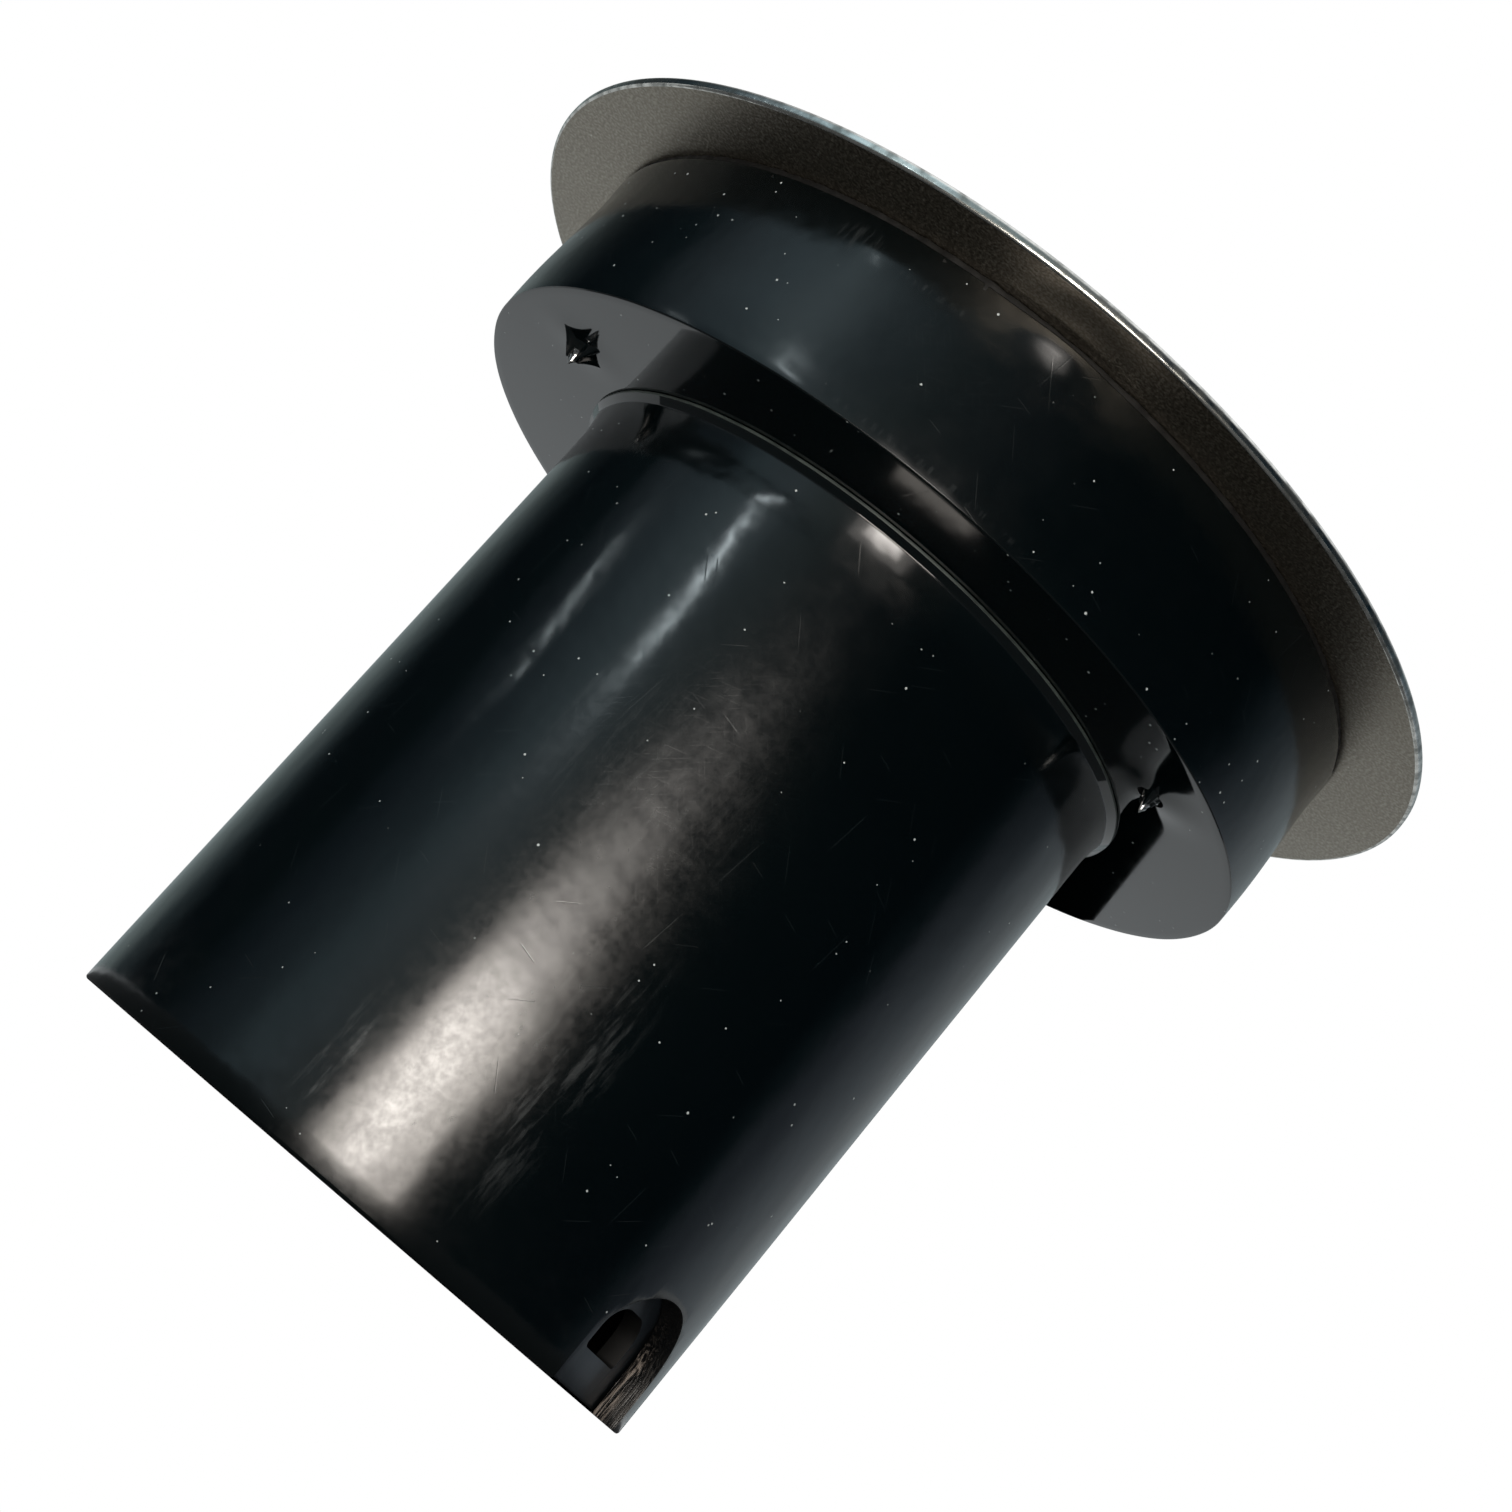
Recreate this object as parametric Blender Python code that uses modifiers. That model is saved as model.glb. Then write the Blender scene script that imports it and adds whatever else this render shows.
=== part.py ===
"""Twist-valve cover of a batch-feed kitchen waste disposer, as separate pieces.

A stainless cover plate rests on the sink flange, a black collar fills the throat under
it, and a long black sleeve hangs into the hopper. A drum turns inside the sleeve. Its
window stands behind the notch in the sleeve when the valve is open. The knob turns the
spindle, the magnet carrier and the drum together.

The axis of the cover is Z. The lower end of the sleeve is at z = 0 and the plate is on top.
Azimuths are degrees from -Y towards +X. Lengths are in millimetres until MM is applied.
"""

import math

import bmesh
import bpy
from mathutils import Matrix, Vector

MM = 0.001
GAP = 0.3
ROUND_STEPS = 96
INNER_STEPS = 64
SMALL_STEPS = 24

# Driving dimensions: the outer form
SLEEVE_RADIUS = 30.58
SLEEVE_WALL = 2.45
LIP_RADIUS = 31.8
COLLAR_BOTTOM = 69.46
COLLAR_RADIUS = 44.05
COLLAR_TOP_RADIUS = 43.57
COLLAR_WALL = 2.6
COLLAR_FLOOR = 3.0
PLATE_BOTTOM = 86.44
PLATE_THICKNESS = 1.0
PLATE_RADIUS = 51.37
SEAT_STEP = 0.1
GASKET_THICKNESS = 0.54

# The notch in the sleeve and the window in the drum behind it
NOTCH_AZIMUTH = 57.5
NOTCH_HALF_WIDTH = 7.48
NOTCH_HEIGHT = 11.0
WINDOW_HALF_WIDTH = 7.9
WINDOW_BOTTOM = 3.8
WINDOW_TOP = 8.3

# The three screws that hold the plate to the collar
SCREW_AZIMUTHS = (-68.5, 51.5, 171.5)
SCREW_CIRCLE = 36.9
SCREW_RADIUS = 1.5
SCREW_TIP = 67.3
BOSS_RADIUS = 3.5

# The drum, the spindle and the magnet carrier
DRUM_RADIUS = SLEEVE_RADIUS - SLEEVE_WALL - GAP
DRUM_WALL = 2.0
DRUM_BOTTOM = 0.2
DRUM_TOP = 73.0
SPIDER_THICKNESS = 3.0
HUB_RADIUS = 10.0
WATER_HOLE_CIRCLE = 16.7
WATER_HOLE_RADIUS = 5.0
SPINDLE_RADIUS = 5.0
THREAD_RADIUS = 3.0
CARRIER_BOTTOM = 75.8
CARRIER_THICKNESS = 4.0
CARRIER_RADIUS = 39.2
CARRIER_HUB_RADIUS = 14.0
ARM_HALF_WIDTH = 7.4
ARM_LEAD = 20.0
MAGNET_RADIUS = 4.0
MAGNET_CIRCLE = 33.0
STUD_CIRCLE = 27.0
STUD_RADIUS = 1.5

# The knob on top
KNOB_BOTTOM = 90.4
KNOB_TOP = 103.4
KNOB_RADIUS = 16.0
KNOB_FLUTES = 8
SPINDLE_TOP = 98.0

PLATE_TOP = PLATE_BOTTOM + PLATE_THICKNESS
GASKET_BOTTOM = PLATE_BOTTOM - GAP - GASKET_THICKNESS
COLLAR_TOP = GASKET_BOTTOM - GAP
FLOOR_TOP = COLLAR_BOTTOM + COLLAR_FLOOR
LEDGE_BOTTOM = FLOOR_TOP + GAP
LIP_TOP = COLLAR_BOTTOM - GAP
LEDGE_TOP = LEDGE_BOTTOM + 2.0
LEDGE_RADIUS = SCREW_CIRCLE - BOSS_RADIUS - 2 * GAP
SLEEVE_BORE = SLEEVE_RADIUS - SLEEVE_WALL
CARRIER_TOP = CARRIER_BOTTOM + CARRIER_THICKNESS
SPINDLE_BORE = SPINDLE_RADIUS + GAP


def clear_scene():
    for thing in list(bpy.data.objects):
        bpy.data.objects.remove(thing, do_unlink=True)


def collection(name):
    group = bpy.data.collections.new(name)
    bpy.context.scene.collection.children.link(group)
    return group


def finish(name, colour, metallic, roughness):
    """A plain material for one sub-part, from an sRGB hex colour."""
    material = bpy.data.materials.new(name)
    material.use_nodes = True
    shader = material.node_tree.nodes["Principled BSDF"]
    channels = [int(colour[i : i + 2], 16) / 255 for i in (0, 2, 4)]
    shader.inputs["Base Color"].default_value = [c**2.2 for c in channels] + [1.0]
    shader.inputs["Metallic"].default_value = metallic
    shader.inputs["Roughness"].default_value = roughness
    return material


def polar(radius, azimuth, z=0.0):
    """A point in metres from a radius in millimetres and an azimuth in degrees."""
    turn = math.radians(azimuth)
    return Vector((radius * math.sin(turn), -radius * math.cos(turn), z)) * MM


def facing(azimuth):
    """The turn about Z that takes +X to an azimuth."""
    return Matrix.Rotation(math.radians(azimuth - 90.0), 4, "Z")


def place(name, mesh, group, material=None):
    thing = bpy.data.objects.new(name, mesh)
    group.objects.link(thing)
    if material:
        mesh.materials.append(material)
        mesh.shade_smooth()
        mesh.set_sharp_from_angle(angle=math.radians(30))
    return thing


def turned(name, profile, material, group, steps=ROUND_STEPS, at=None):
    """A turned piece: its profile in (radius, z), outer side first, top to bottom."""
    mesh = bpy.data.meshes.new(name)
    points = [(radius * MM, 0, z * MM) for radius, z in profile]
    edges = [(i, i + 1) for i in range(len(points) - 1)]
    if profile[0][0] > 0:
        edges.append((len(points) - 1, 0))
    mesh.from_pydata(points, edges, [])
    thing = place(name, mesh, group)
    mesh.materials.append(material)
    screw = thing.modifiers.new("turn", "SCREW")
    screw.steps = steps
    screw.render_steps = steps
    screw.use_merge_vertices = True
    screw.merge_threshold = 1e-6
    screw.use_smooth_shade = False
    if at:
        thing.location = at
    return thing


def ring(name, outer, inner, low, high, material, group, steps=ROUND_STEPS):
    """A flat ring or a plain bush."""
    profile = [(outer, high), (outer, low), (inner, low), (inner, high)]
    return turned(name, profile, material, group, steps)


def rod_mesh(name, radius, low, high, places, steps=SMALL_STEPS, stretch=0.0):
    """Upright rods at some (radius, azimuth) places, each stretched along its tangent."""
    form = bmesh.new()
    for circle, azimuth in places:
        made = bmesh.ops.create_cone(
            form,
            cap_ends=True,
            segments=steps,
            radius1=radius * MM,
            radius2=radius * MM,
            depth=(high - low) * MM,
        )
        for vertex in made["verts"]:
            side = math.copysign(stretch * MM, vertex.co.y) if abs(vertex.co.y) > 1e-9 else 0.0
            vertex.co.y += side
            vertex.co.z += (low + high) / 2 * MM
        bmesh.ops.transform(
            form,
            matrix=Matrix.Translation(polar(circle, azimuth)) @ facing(azimuth),
            verts=made["verts"],
        )
    mesh = bpy.data.meshes.new(name)
    form.to_mesh(mesh)
    form.free()
    return mesh


def tool(name, mesh):
    """A cutter or a form that another piece is joined with."""
    thing = place(name, mesh, tools)
    thing.hide_render = True
    thing.display_type = "WIRE"
    return thing


def combine(piece, other, operation="DIFFERENCE"):
    step = piece.modifiers.new(other.name, "BOOLEAN")
    step.operation = operation
    step.solver = "EXACT"
    step.object = other


def block_mesh(name, size, centre, azimuth, bevels=()):
    """A box whose X points along an azimuth. A bevel is (radius, z sign) on edges along X."""
    form = bmesh.new()
    bmesh.ops.create_cube(form, size=1.0)
    bmesh.ops.scale(form, vec=[side * MM for side in size], verts=form.verts)
    for radius, sign in bevels:
        edges = [
            edge
            for edge in form.edges
            if abs(edge.verts[0].co.x - edge.verts[1].co.x) > size[0] * MM / 2
            and all(v.co.z * sign > size[2] * MM * 0.49 for v in edge.verts)
        ]
        bmesh.ops.bevel(
            form, geom=edges, offset=radius * MM, segments=6, profile=0.5, affect="EDGES"
        )
    bmesh.ops.transform(
        form, matrix=facing(azimuth) @ Matrix.Translation(Vector(centre) * MM), verts=form.verts
    )
    mesh = bpy.data.meshes.new(name)
    form.to_mesh(mesh)
    form.free()
    return mesh


def flat_outline(name, points, low, high, material, group):
    """A plate cut to an outline of (x, y) points in metres."""
    curve = bpy.data.curves.new(name, "CURVE")
    curve.dimensions = "2D"
    curve.fill_mode = "BOTH"
    curve.extrude = (high - low) / 2 * MM
    spline = curve.splines.new("POLY")
    spline.points.add(len(points) - 1)
    for point, (x, y) in zip(spline.points, points):
        point.co = (x, y, 0, 1)
    spline.use_cyclic_u = True
    sketch = bpy.data.objects.new(name + "_sketch", curve)
    tools.objects.link(sketch)
    sketch.location.z = (low + high) / 2 * MM
    bpy.context.view_layer.update()
    depsgraph = bpy.context.evaluated_depsgraph_get()
    mesh = bpy.data.meshes.new_from_object(sketch.evaluated_get(depsgraph))
    form = bmesh.new()
    form.from_mesh(mesh)
    bmesh.ops.remove_doubles(form, verts=form.verts, dist=1e-6)
    bmesh.ops.recalc_face_normals(form, faces=form.faces)
    form.to_mesh(mesh)
    form.free()
    mesh.name = name
    mesh.materials.clear()
    piece = place(name, mesh, group, material)
    piece.matrix_world = sketch.matrix_world.copy()
    bpy.data.objects.remove(sketch, do_unlink=True)
    return piece


def make_sleeve():
    """The black tube. A ledge hangs it on the collar's floor and a lip closes the joint below."""
    profile = [
        (LEDGE_RADIUS, LEDGE_TOP),
        (LEDGE_RADIUS, LEDGE_BOTTOM),
        (SLEEVE_RADIUS, LEDGE_BOTTOM),
        (SLEEVE_RADIUS, LIP_TOP),
        (LIP_RADIUS, LIP_TOP),
        (LIP_RADIUS, LIP_TOP - 0.3),
        (SLEEVE_RADIUS + 0.6, LIP_TOP - 1.2),
        (SLEEVE_RADIUS + 0.2, LIP_TOP - 2.4),
        (SLEEVE_RADIUS, LIP_TOP - 4.0),
        (SLEEVE_RADIUS, 0.3),
        (SLEEVE_RADIUS - 0.3, 0.0),
        (SLEEVE_BORE + 0.3, 0.0),
        (SLEEVE_BORE, 0.3),
        (SLEEVE_BORE, LEDGE_TOP),
    ]
    sleeve = turned("sleeve_tube", profile, BLACK_ABS, cover)
    width = 2 * NOTCH_HALF_WIDTH
    height = NOTCH_HEIGHT + 10.0
    notch = block_mesh(
        "notch_cutter",
        (12.0, width, height),
        (SLEEVE_RADIUS, 0.0, NOTCH_HEIGHT - height / 2),
        NOTCH_AZIMUTH,
        bevels=((NOTCH_HALF_WIDTH * 0.98, 1),),
    )
    combine(sleeve, tool("notch_cutter", notch))


def make_collar():
    """The black cup under the plate, with three ribbed screw bosses inside."""
    profile = [
        (COLLAR_TOP_RADIUS, COLLAR_TOP),
        (COLLAR_RADIUS, COLLAR_BOTTOM + 0.5),
        (COLLAR_RADIUS - 0.4, COLLAR_BOTTOM),
        (SLEEVE_RADIUS + GAP, COLLAR_BOTTOM),
        (SLEEVE_RADIUS + GAP, FLOOR_TOP),
        (COLLAR_RADIUS - COLLAR_WALL, FLOOR_TOP),
        (COLLAR_TOP_RADIUS - COLLAR_WALL, COLLAR_TOP),
    ]
    collar = turned("collar_housing", profile, BLACK_ABS, cover)
    places = [(SCREW_CIRCLE, azimuth) for azimuth in SCREW_AZIMUTHS]
    low, high = COLLAR_BOTTOM + 1.5, COLLAR_TOP - GAP
    bosses = rod_mesh("boss_form", BOSS_RADIUS, low, high, places, steps=20)
    combine(collar, tool("boss_form", bosses), "UNION")
    for number, azimuth in enumerate(SCREW_AZIMUTHS, 1):
        name = f"boss_rib_{number}"
        centre = (SCREW_CIRCLE + 3.6, 0.0, (low + high) / 2)
        rib = block_mesh(name, (3.6, 2.4, high - low - 0.4), centre, azimuth)
        combine(collar, tool(name, rib), "UNION")
    pilots = rod_mesh("pilot_cutter", SCREW_RADIUS + GAP, 60.0, 95.0, places, steps=16)
    combine(collar, tool("pilot_cutter", pilots))


def make_plate():
    """The stainless plate, with a bush hole, screw holes and a ring of water inlets.
    Its underside is coined a little deeper inside the seat that rests on the sink flange."""
    edge = 0.3
    profile = [
        (PLATE_RADIUS - edge, PLATE_TOP),
        (PLATE_RADIUS, PLATE_TOP - edge),
        (PLATE_RADIUS, PLATE_BOTTOM + edge),
        (PLATE_RADIUS - edge, PLATE_BOTTOM),
        (COLLAR_RADIUS + 0.4, PLATE_BOTTOM),
        (COLLAR_RADIUS + 0.3, PLATE_BOTTOM + SEAT_STEP),
        (7.8, PLATE_BOTTOM + SEAT_STEP),
        (7.8, PLATE_TOP),
    ]
    plate = turned("cover_plate", profile, STAINLESS, cover)
    holes = [(SCREW_CIRCLE, azimuth) for azimuth in SCREW_AZIMUTHS]
    screw_holes = rod_mesh("plate_hole_cutter", SCREW_RADIUS + 0.4, 80.0, 95.0, holes, steps=16)
    combine(plate, tool("plate_hole_cutter", screw_holes))
    slots = [(21.0, NOTCH_AZIMUTH + 24.0 + 60.0 * k) for k in range(6)]
    inlets = rod_mesh("inlet_cutter", 2.0, 80.0, 95.0, slots, steps=16, stretch=3.5)
    combine(plate, tool("inlet_cutter", inlets))

    gasket = ring(
        "plate_gasket", COLLAR_TOP_RADIUS - 0.2, 34.0, GASKET_BOTTOM,
        GASKET_BOTTOM + GASKET_THICKNESS, NITRILE, cover,
    )
    gasket_holes = rod_mesh("gasket_hole_cutter", 1.9, 80.0, 95.0, holes, steps=16)
    combine(gasket, tool("gasket_hole_cutter", gasket_holes))


def make_plate_screws():
    """Self-tapping screws whose points stand out under the collar."""
    head_bottom = PLATE_TOP + GAP
    profile = [
        (0.0, head_bottom + 2.0),
        (1.9, head_bottom + 1.9),
        (3.0, head_bottom + 1.3),
        (3.4, head_bottom),
        (SCREW_RADIUS, head_bottom),
        (SCREW_RADIUS, COLLAR_BOTTOM + 1.6),
        (0.95, COLLAR_BOTTOM - 0.2),
        (0.12, SCREW_TIP),
        (0.0, SCREW_TIP),
    ]
    for number, azimuth in enumerate(SCREW_AZIMUTHS, 1):
        turned(
            f"plate_screw_{number}", profile, SCREW_STEEL, cover,
            steps=14, at=polar(SCREW_CIRCLE, azimuth),
        )


def make_bearing():
    """The flanged bush in the plate, its washers, and the stud that stops the arms."""
    bush_bore, bush_radius = SPINDLE_BORE, 7.5
    flange_bottom = PLATE_TOP + GAP
    profile = [
        (10.5, flange_bottom + 1.2),
        (10.5, flange_bottom),
        (bush_radius, flange_bottom),
        (bush_radius, CARRIER_TOP + 1.6),
        (bush_bore, CARRIER_TOP + 1.6),
        (bush_bore, flange_bottom + 1.2),
    ]
    turned("bearing_bush", profile, ACETAL, cover, steps=32)
    low = CARRIER_TOP + GAP
    ring("thrust_washer", 11.0, bush_bore, low, low + 1.0, STAINLESS, cover, steps=32)

    form = bmesh.new()
    section = [(9.8, 89.9), (9.8, 89.5), (6.2, 89.5), (6.2, 89.9)]
    corners = [form.verts.new((radius * MM, 0, z * MM)) for radius, z in section]
    sides = [form.edges.new((corners[i], corners[(i + 1) % 4])) for i in range(4)]
    bmesh.ops.spin(
        form, geom=corners + sides, axis=(0, 0, 1), cent=(0, 0, 0),
        angle=math.tau, steps=36, use_merge=True, use_duplicate=False,
    )
    for vertex in form.verts:
        vertex.co.z += 0.15 * MM * math.sin(3 * math.atan2(vertex.co.y, vertex.co.x))
    bmesh.ops.recalc_face_normals(form, faces=form.faces)
    mesh = bpy.data.meshes.new("wave_washer")
    form.to_mesh(mesh)
    form.free()
    place("wave_washer", mesh, cover, STAINLESS)

    stud_top = PLATE_BOTTOM - GAP
    stud = [
        (0.0, stud_top),
        (2.4, stud_top),
        (2.4, stud_top - 0.7),
        (STUD_RADIUS, stud_top - 1.1),
        (STUD_RADIUS, CARRIER_BOTTOM + 0.5),
        (STUD_RADIUS - 0.3, CARRIER_BOTTOM + 0.2),
        (0.0, CARRIER_BOTTOM + 0.2),
    ]
    at = polar(STUD_CIRCLE, SCREW_AZIMUTHS[1])
    turned("stop_stud", stud, SCREW_STEEL, cover, steps=16, at=at)


def make_spindle():
    """The spindle, its seal, and the nut and washer that hold the drum."""
    groove_low, groove_high, groove_radius = 83.2, 85.8, 3.6
    shoulder = CARRIER_BOTTOM - GAP
    spindle = [
        (0.0, KNOB_BOTTOM),
        (2.3, KNOB_BOTTOM),
        (2.3, SPINDLE_TOP),
        (SPINDLE_RADIUS - 0.4, SPINDLE_TOP),
        (SPINDLE_RADIUS, SPINDLE_TOP - 0.4),
        (SPINDLE_RADIUS, groove_high),
        (groove_radius, groove_high),
        (groove_radius, groove_low),
        (SPINDLE_RADIUS, groove_low),
        (SPINDLE_RADIUS, shoulder),
        (THREAD_RADIUS, shoulder),
        (THREAD_RADIUS, 61.0),
        (THREAD_RADIUS - 0.4, 60.5),
        (0.0, 60.5),
    ]
    parts = [turned("spindle", spindle, STAINLESS, cover, steps=SMALL_STEPS)]
    bore = THREAD_RADIUS + GAP
    nut = place("spindle_nut", rod_mesh("spindle_nut", 5.77, 62.0, 67.0, [(0, 0)], 6),
                cover, STAINLESS)
    nut_bore = rod_mesh("nut_bore_cutter", bore, 55.0, 75.0, [(0, 0)])
    combine(nut, tool("nut_bore_cutter", nut_bore))
    parts.append(nut)
    parts.append(ring("lock_washer", 6.0, bore, 67.3, 67.9, STAINLESS, cover, SMALL_STEPS))
    parts.append(o_ring("spindle_seal", 4.45, 0.55, (groove_low + groove_high) / 2, 24))
    return parts


def o_ring(name, radius, section, z, steps):
    bpy.ops.mesh.primitive_torus_add(
        major_radius=radius * MM, minor_radius=section * MM,
        major_segments=steps, minor_segments=6, location=(0, 0, z * MM),
    )
    made = bpy.context.object
    mesh = made.data
    bpy.data.objects.remove(made, do_unlink=True)
    mesh.name = name
    piece = place(name, mesh, cover, NITRILE)
    piece.location.z = z * MM
    return piece


def make_drum():
    """The valve drum: its shell, the spider in its top, its floor and its seal."""
    bore = DRUM_RADIUS - DRUM_WALL
    neck = bore - 2.0
    groove_low, groove_high, groove_radius = 63.0, 65.4, DRUM_RADIUS - 1.6
    seat = DRUM_TOP - SPIDER_THICKNESS - GAP
    shell = [
        (DRUM_RADIUS, DRUM_TOP),
        (DRUM_RADIUS, groove_high),
        (groove_radius, groove_high),
        (groove_radius, groove_low),
        (DRUM_RADIUS, groove_low),
        (DRUM_RADIUS, DRUM_BOTTOM + 0.4),
        (DRUM_RADIUS - 0.4, DRUM_BOTTOM),
        (bore, DRUM_BOTTOM),
        (bore, 59.0),
        (neck, 61.0),
        (neck, seat),
        (bore, seat),
        (bore, DRUM_TOP),
    ]
    drum = turned("valve_drum", shell, GREY_ABS, cover, INNER_STEPS)
    window = block_mesh(
        "window_cutter",
        (12.0, 2 * WINDOW_HALF_WIDTH, WINDOW_TOP - WINDOW_BOTTOM),
        (DRUM_RADIUS, 0.0, (WINDOW_TOP + WINDOW_BOTTOM) / 2),
        NOTCH_AZIMUTH,
        bevels=((3.2, 1), (0.8, -1)),
    )
    combine(drum, tool("window_cutter", window))

    hub_bottom, hub_top = 68.2, CARRIER_BOTTOM - 2 * GAP
    hole = THREAD_RADIUS + GAP
    hub = [
        (bore - GAP, DRUM_TOP),
        (bore - GAP, DRUM_TOP - SPIDER_THICKNESS),
        (HUB_RADIUS, DRUM_TOP - SPIDER_THICKNESS),
        (HUB_RADIUS, hub_bottom),
        (hole, hub_bottom),
        (hole, hub_top),
        (HUB_RADIUS, hub_top),
        (HUB_RADIUS, DRUM_TOP),
    ]
    spider = turned("drum_spider", hub, GREY_ABS, cover, INNER_STEPS)
    water = [(WATER_HOLE_CIRCLE, NOTCH_AZIMUTH + 60.0 * k) for k in range(6)]
    ways = rod_mesh("spider_cutter", WATER_HOLE_RADIUS, 66.0, 80.0, water, steps=16)
    combine(spider, tool("spider_cutter", ways))

    floor_top = WINDOW_BOTTOM - 0.4
    disc = rod_mesh("drum_floor", bore - GAP, 1.2, floor_top, [(0, 0)], INNER_STEPS)
    floor = place("drum_floor", disc, cover, GREY_ABS)
    seal = o_ring("drum_seal", DRUM_RADIUS - 0.65, 0.65, (groove_low + groove_high) / 2, 48)
    return [drum, spider, floor, seal]


def make_carrier():
    """Three arms that carry the interlock magnets past the throat of the disposer."""
    outline = []
    tip = math.degrees(math.asin(ARM_HALF_WIDTH / CARRIER_RADIUS))
    root = math.degrees(math.asin(ARM_HALF_WIDTH / CARRIER_HUB_RADIUS))
    for azimuth in SCREW_AZIMUTHS:
        arm = azimuth + ARM_LEAD
        for k in range(7):
            outline.append(polar(CARRIER_RADIUS, arm - tip + tip * k / 3).xy)
        for k in range(7):
            web = arm + root + (120.0 - 2 * root) * k / 6
            outline.append(polar(CARRIER_HUB_RADIUS, web).xy)
    carrier = flat_outline(
        "magnet_carrier", outline, CARRIER_BOTTOM, CARRIER_TOP, GREY_ABS, cover
    )
    bore = rod_mesh("carrier_bore_cutter", SPINDLE_BORE, 70.0, 85.0, [(0, 0)])
    combine(carrier, tool("carrier_bore_cutter", bore))
    arms = [(MAGNET_CIRCLE, azimuth + ARM_LEAD) for azimuth in SCREW_AZIMUTHS]
    pockets = rod_mesh(
        "pocket_cutter", MAGNET_RADIUS + GAP, CARRIER_BOTTOM + 0.8, 85.0, arms, steps=20
    )
    combine(carrier, tool("pocket_cutter", pockets))
    parts = [carrier]
    for number, arm in enumerate(arms, 1):
        name = f"interlock_magnet_{number}"
        low = CARRIER_BOTTOM + 1.1
        mesh = rod_mesh(name, MAGNET_RADIUS, low, CARRIER_TOP - GAP, [arm], steps=20)
        parts.append(place(name, mesh, cover, NICKEL))
    return parts


def make_knob():
    """The fluted knob, the screw in it and the cap over the screw."""
    recess = KNOB_TOP - 1.3
    web_low, web_high = SPINDLE_TOP + 0.4, SPINDLE_TOP + 2.0
    profile = [
        (9.0, KNOB_TOP),
        (14.0, KNOB_TOP),
        (15.5, KNOB_TOP - 0.8),
        (KNOB_RADIUS, KNOB_TOP - 2.2),
        (15.6, KNOB_TOP - 7.0),
        (13.0, KNOB_BOTTOM + 2.6),
        (12.0, KNOB_BOTTOM),
        (SPINDLE_BORE, KNOB_BOTTOM),
        (SPINDLE_BORE, web_low),
        (2.3, web_low),
        (2.3, web_high),
        (5.0, web_high),
        (5.0, recess),
        (9.0, recess),
    ]
    knob = turned("knob", profile, BLACK_ABS, cover, steps=40)
    places = [(KNOB_RADIUS + 3.0, 360.0 * k / KNOB_FLUTES) for k in range(KNOB_FLUTES)]
    flutes = rod_mesh("flute_cutter", 4.4, 80.0, 115.0, places, steps=16)
    combine(knob, tool("flute_cutter", flutes))
    cap = [
        (0.0, KNOB_TOP + 0.5),
        (5.0, KNOB_TOP + 0.35),
        (8.2, KNOB_TOP),
        (8.7, KNOB_TOP - 0.4),
        (8.7, recess + GAP),
        (0.0, recess + GAP),
    ]
    head = web_high + GAP
    screw = [
        (0.0, head + 1.5),
        (4.0, head + 1.5),
        (4.4, head + 1.1),
        (4.4, head),
        (2.0, head),
        (2.0, 92.9),
        (1.6, 92.5),
        (0.0, 92.5),
    ]
    return [
        knob,
        turned("knob_cap", cap, STAINLESS, cover, steps=32),
        turned("knob_screw", screw, SCREW_STEEL, cover, steps=16),
    ]


clear_scene()
cover = collection("disposer_cover")
tools = collection("cutters")

BLACK_ABS = finish("black_abs", "0c0f10", 0.0, 0.32)
GREY_ABS = finish("grey_abs", "3a3e42", 0.0, 0.4)
STAINLESS = finish("stainless_steel", "8b8980", 1.0, 0.35)
SCREW_STEEL = finish("zinc_plated_steel", "b8babb", 1.0, 0.3)
NITRILE = finish("nitrile_rubber", "0a0a0b", 0.0, 0.7)
ACETAL = finish("white_acetal", "d8d6cf", 0.0, 0.4)
NICKEL = finish("nickel_plated_magnet", "a8a8a6", 1.0, 0.25)

make_sleeve()
make_collar()
make_plate()
make_plate_screws()
make_bearing()

pivot = bpy.data.objects.new("valve_pivot", None)
cover.objects.link(pivot)
for piece in make_spindle() + make_drum() + make_carrier() + make_knob():
    piece.parent = pivot
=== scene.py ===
"""Looks of the twist-valve cover: moulded black ABS, a blasted steel plate, a turned knob.

The axis of the cover is Z and its sleeve stands at z = 0. Lengths are in millimetres and
are turned to metres by MM where a mesh is made. Azimuths are degrees from -Y towards +X.
"""

import math

import bmesh
import bpy
from mathutils import Matrix, Quaternion, Vector, noise


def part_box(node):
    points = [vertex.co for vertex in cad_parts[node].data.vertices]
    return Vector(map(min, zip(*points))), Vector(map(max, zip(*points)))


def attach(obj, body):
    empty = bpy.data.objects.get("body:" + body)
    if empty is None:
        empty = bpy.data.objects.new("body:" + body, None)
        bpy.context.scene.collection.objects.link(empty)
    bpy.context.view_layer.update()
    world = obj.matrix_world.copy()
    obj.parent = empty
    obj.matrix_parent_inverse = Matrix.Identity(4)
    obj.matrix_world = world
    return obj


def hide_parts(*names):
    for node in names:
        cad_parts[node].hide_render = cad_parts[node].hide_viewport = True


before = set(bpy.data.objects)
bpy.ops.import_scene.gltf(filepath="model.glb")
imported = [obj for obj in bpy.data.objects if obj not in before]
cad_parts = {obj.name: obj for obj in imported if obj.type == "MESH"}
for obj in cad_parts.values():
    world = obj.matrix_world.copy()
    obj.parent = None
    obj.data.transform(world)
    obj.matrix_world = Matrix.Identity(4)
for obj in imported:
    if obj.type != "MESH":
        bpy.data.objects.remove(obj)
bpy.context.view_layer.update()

MM = 0.001


def span(node):
    """The lowest and highest corners of a node, in millimetres."""
    low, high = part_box(node)
    return low / MM, high / MM


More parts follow.
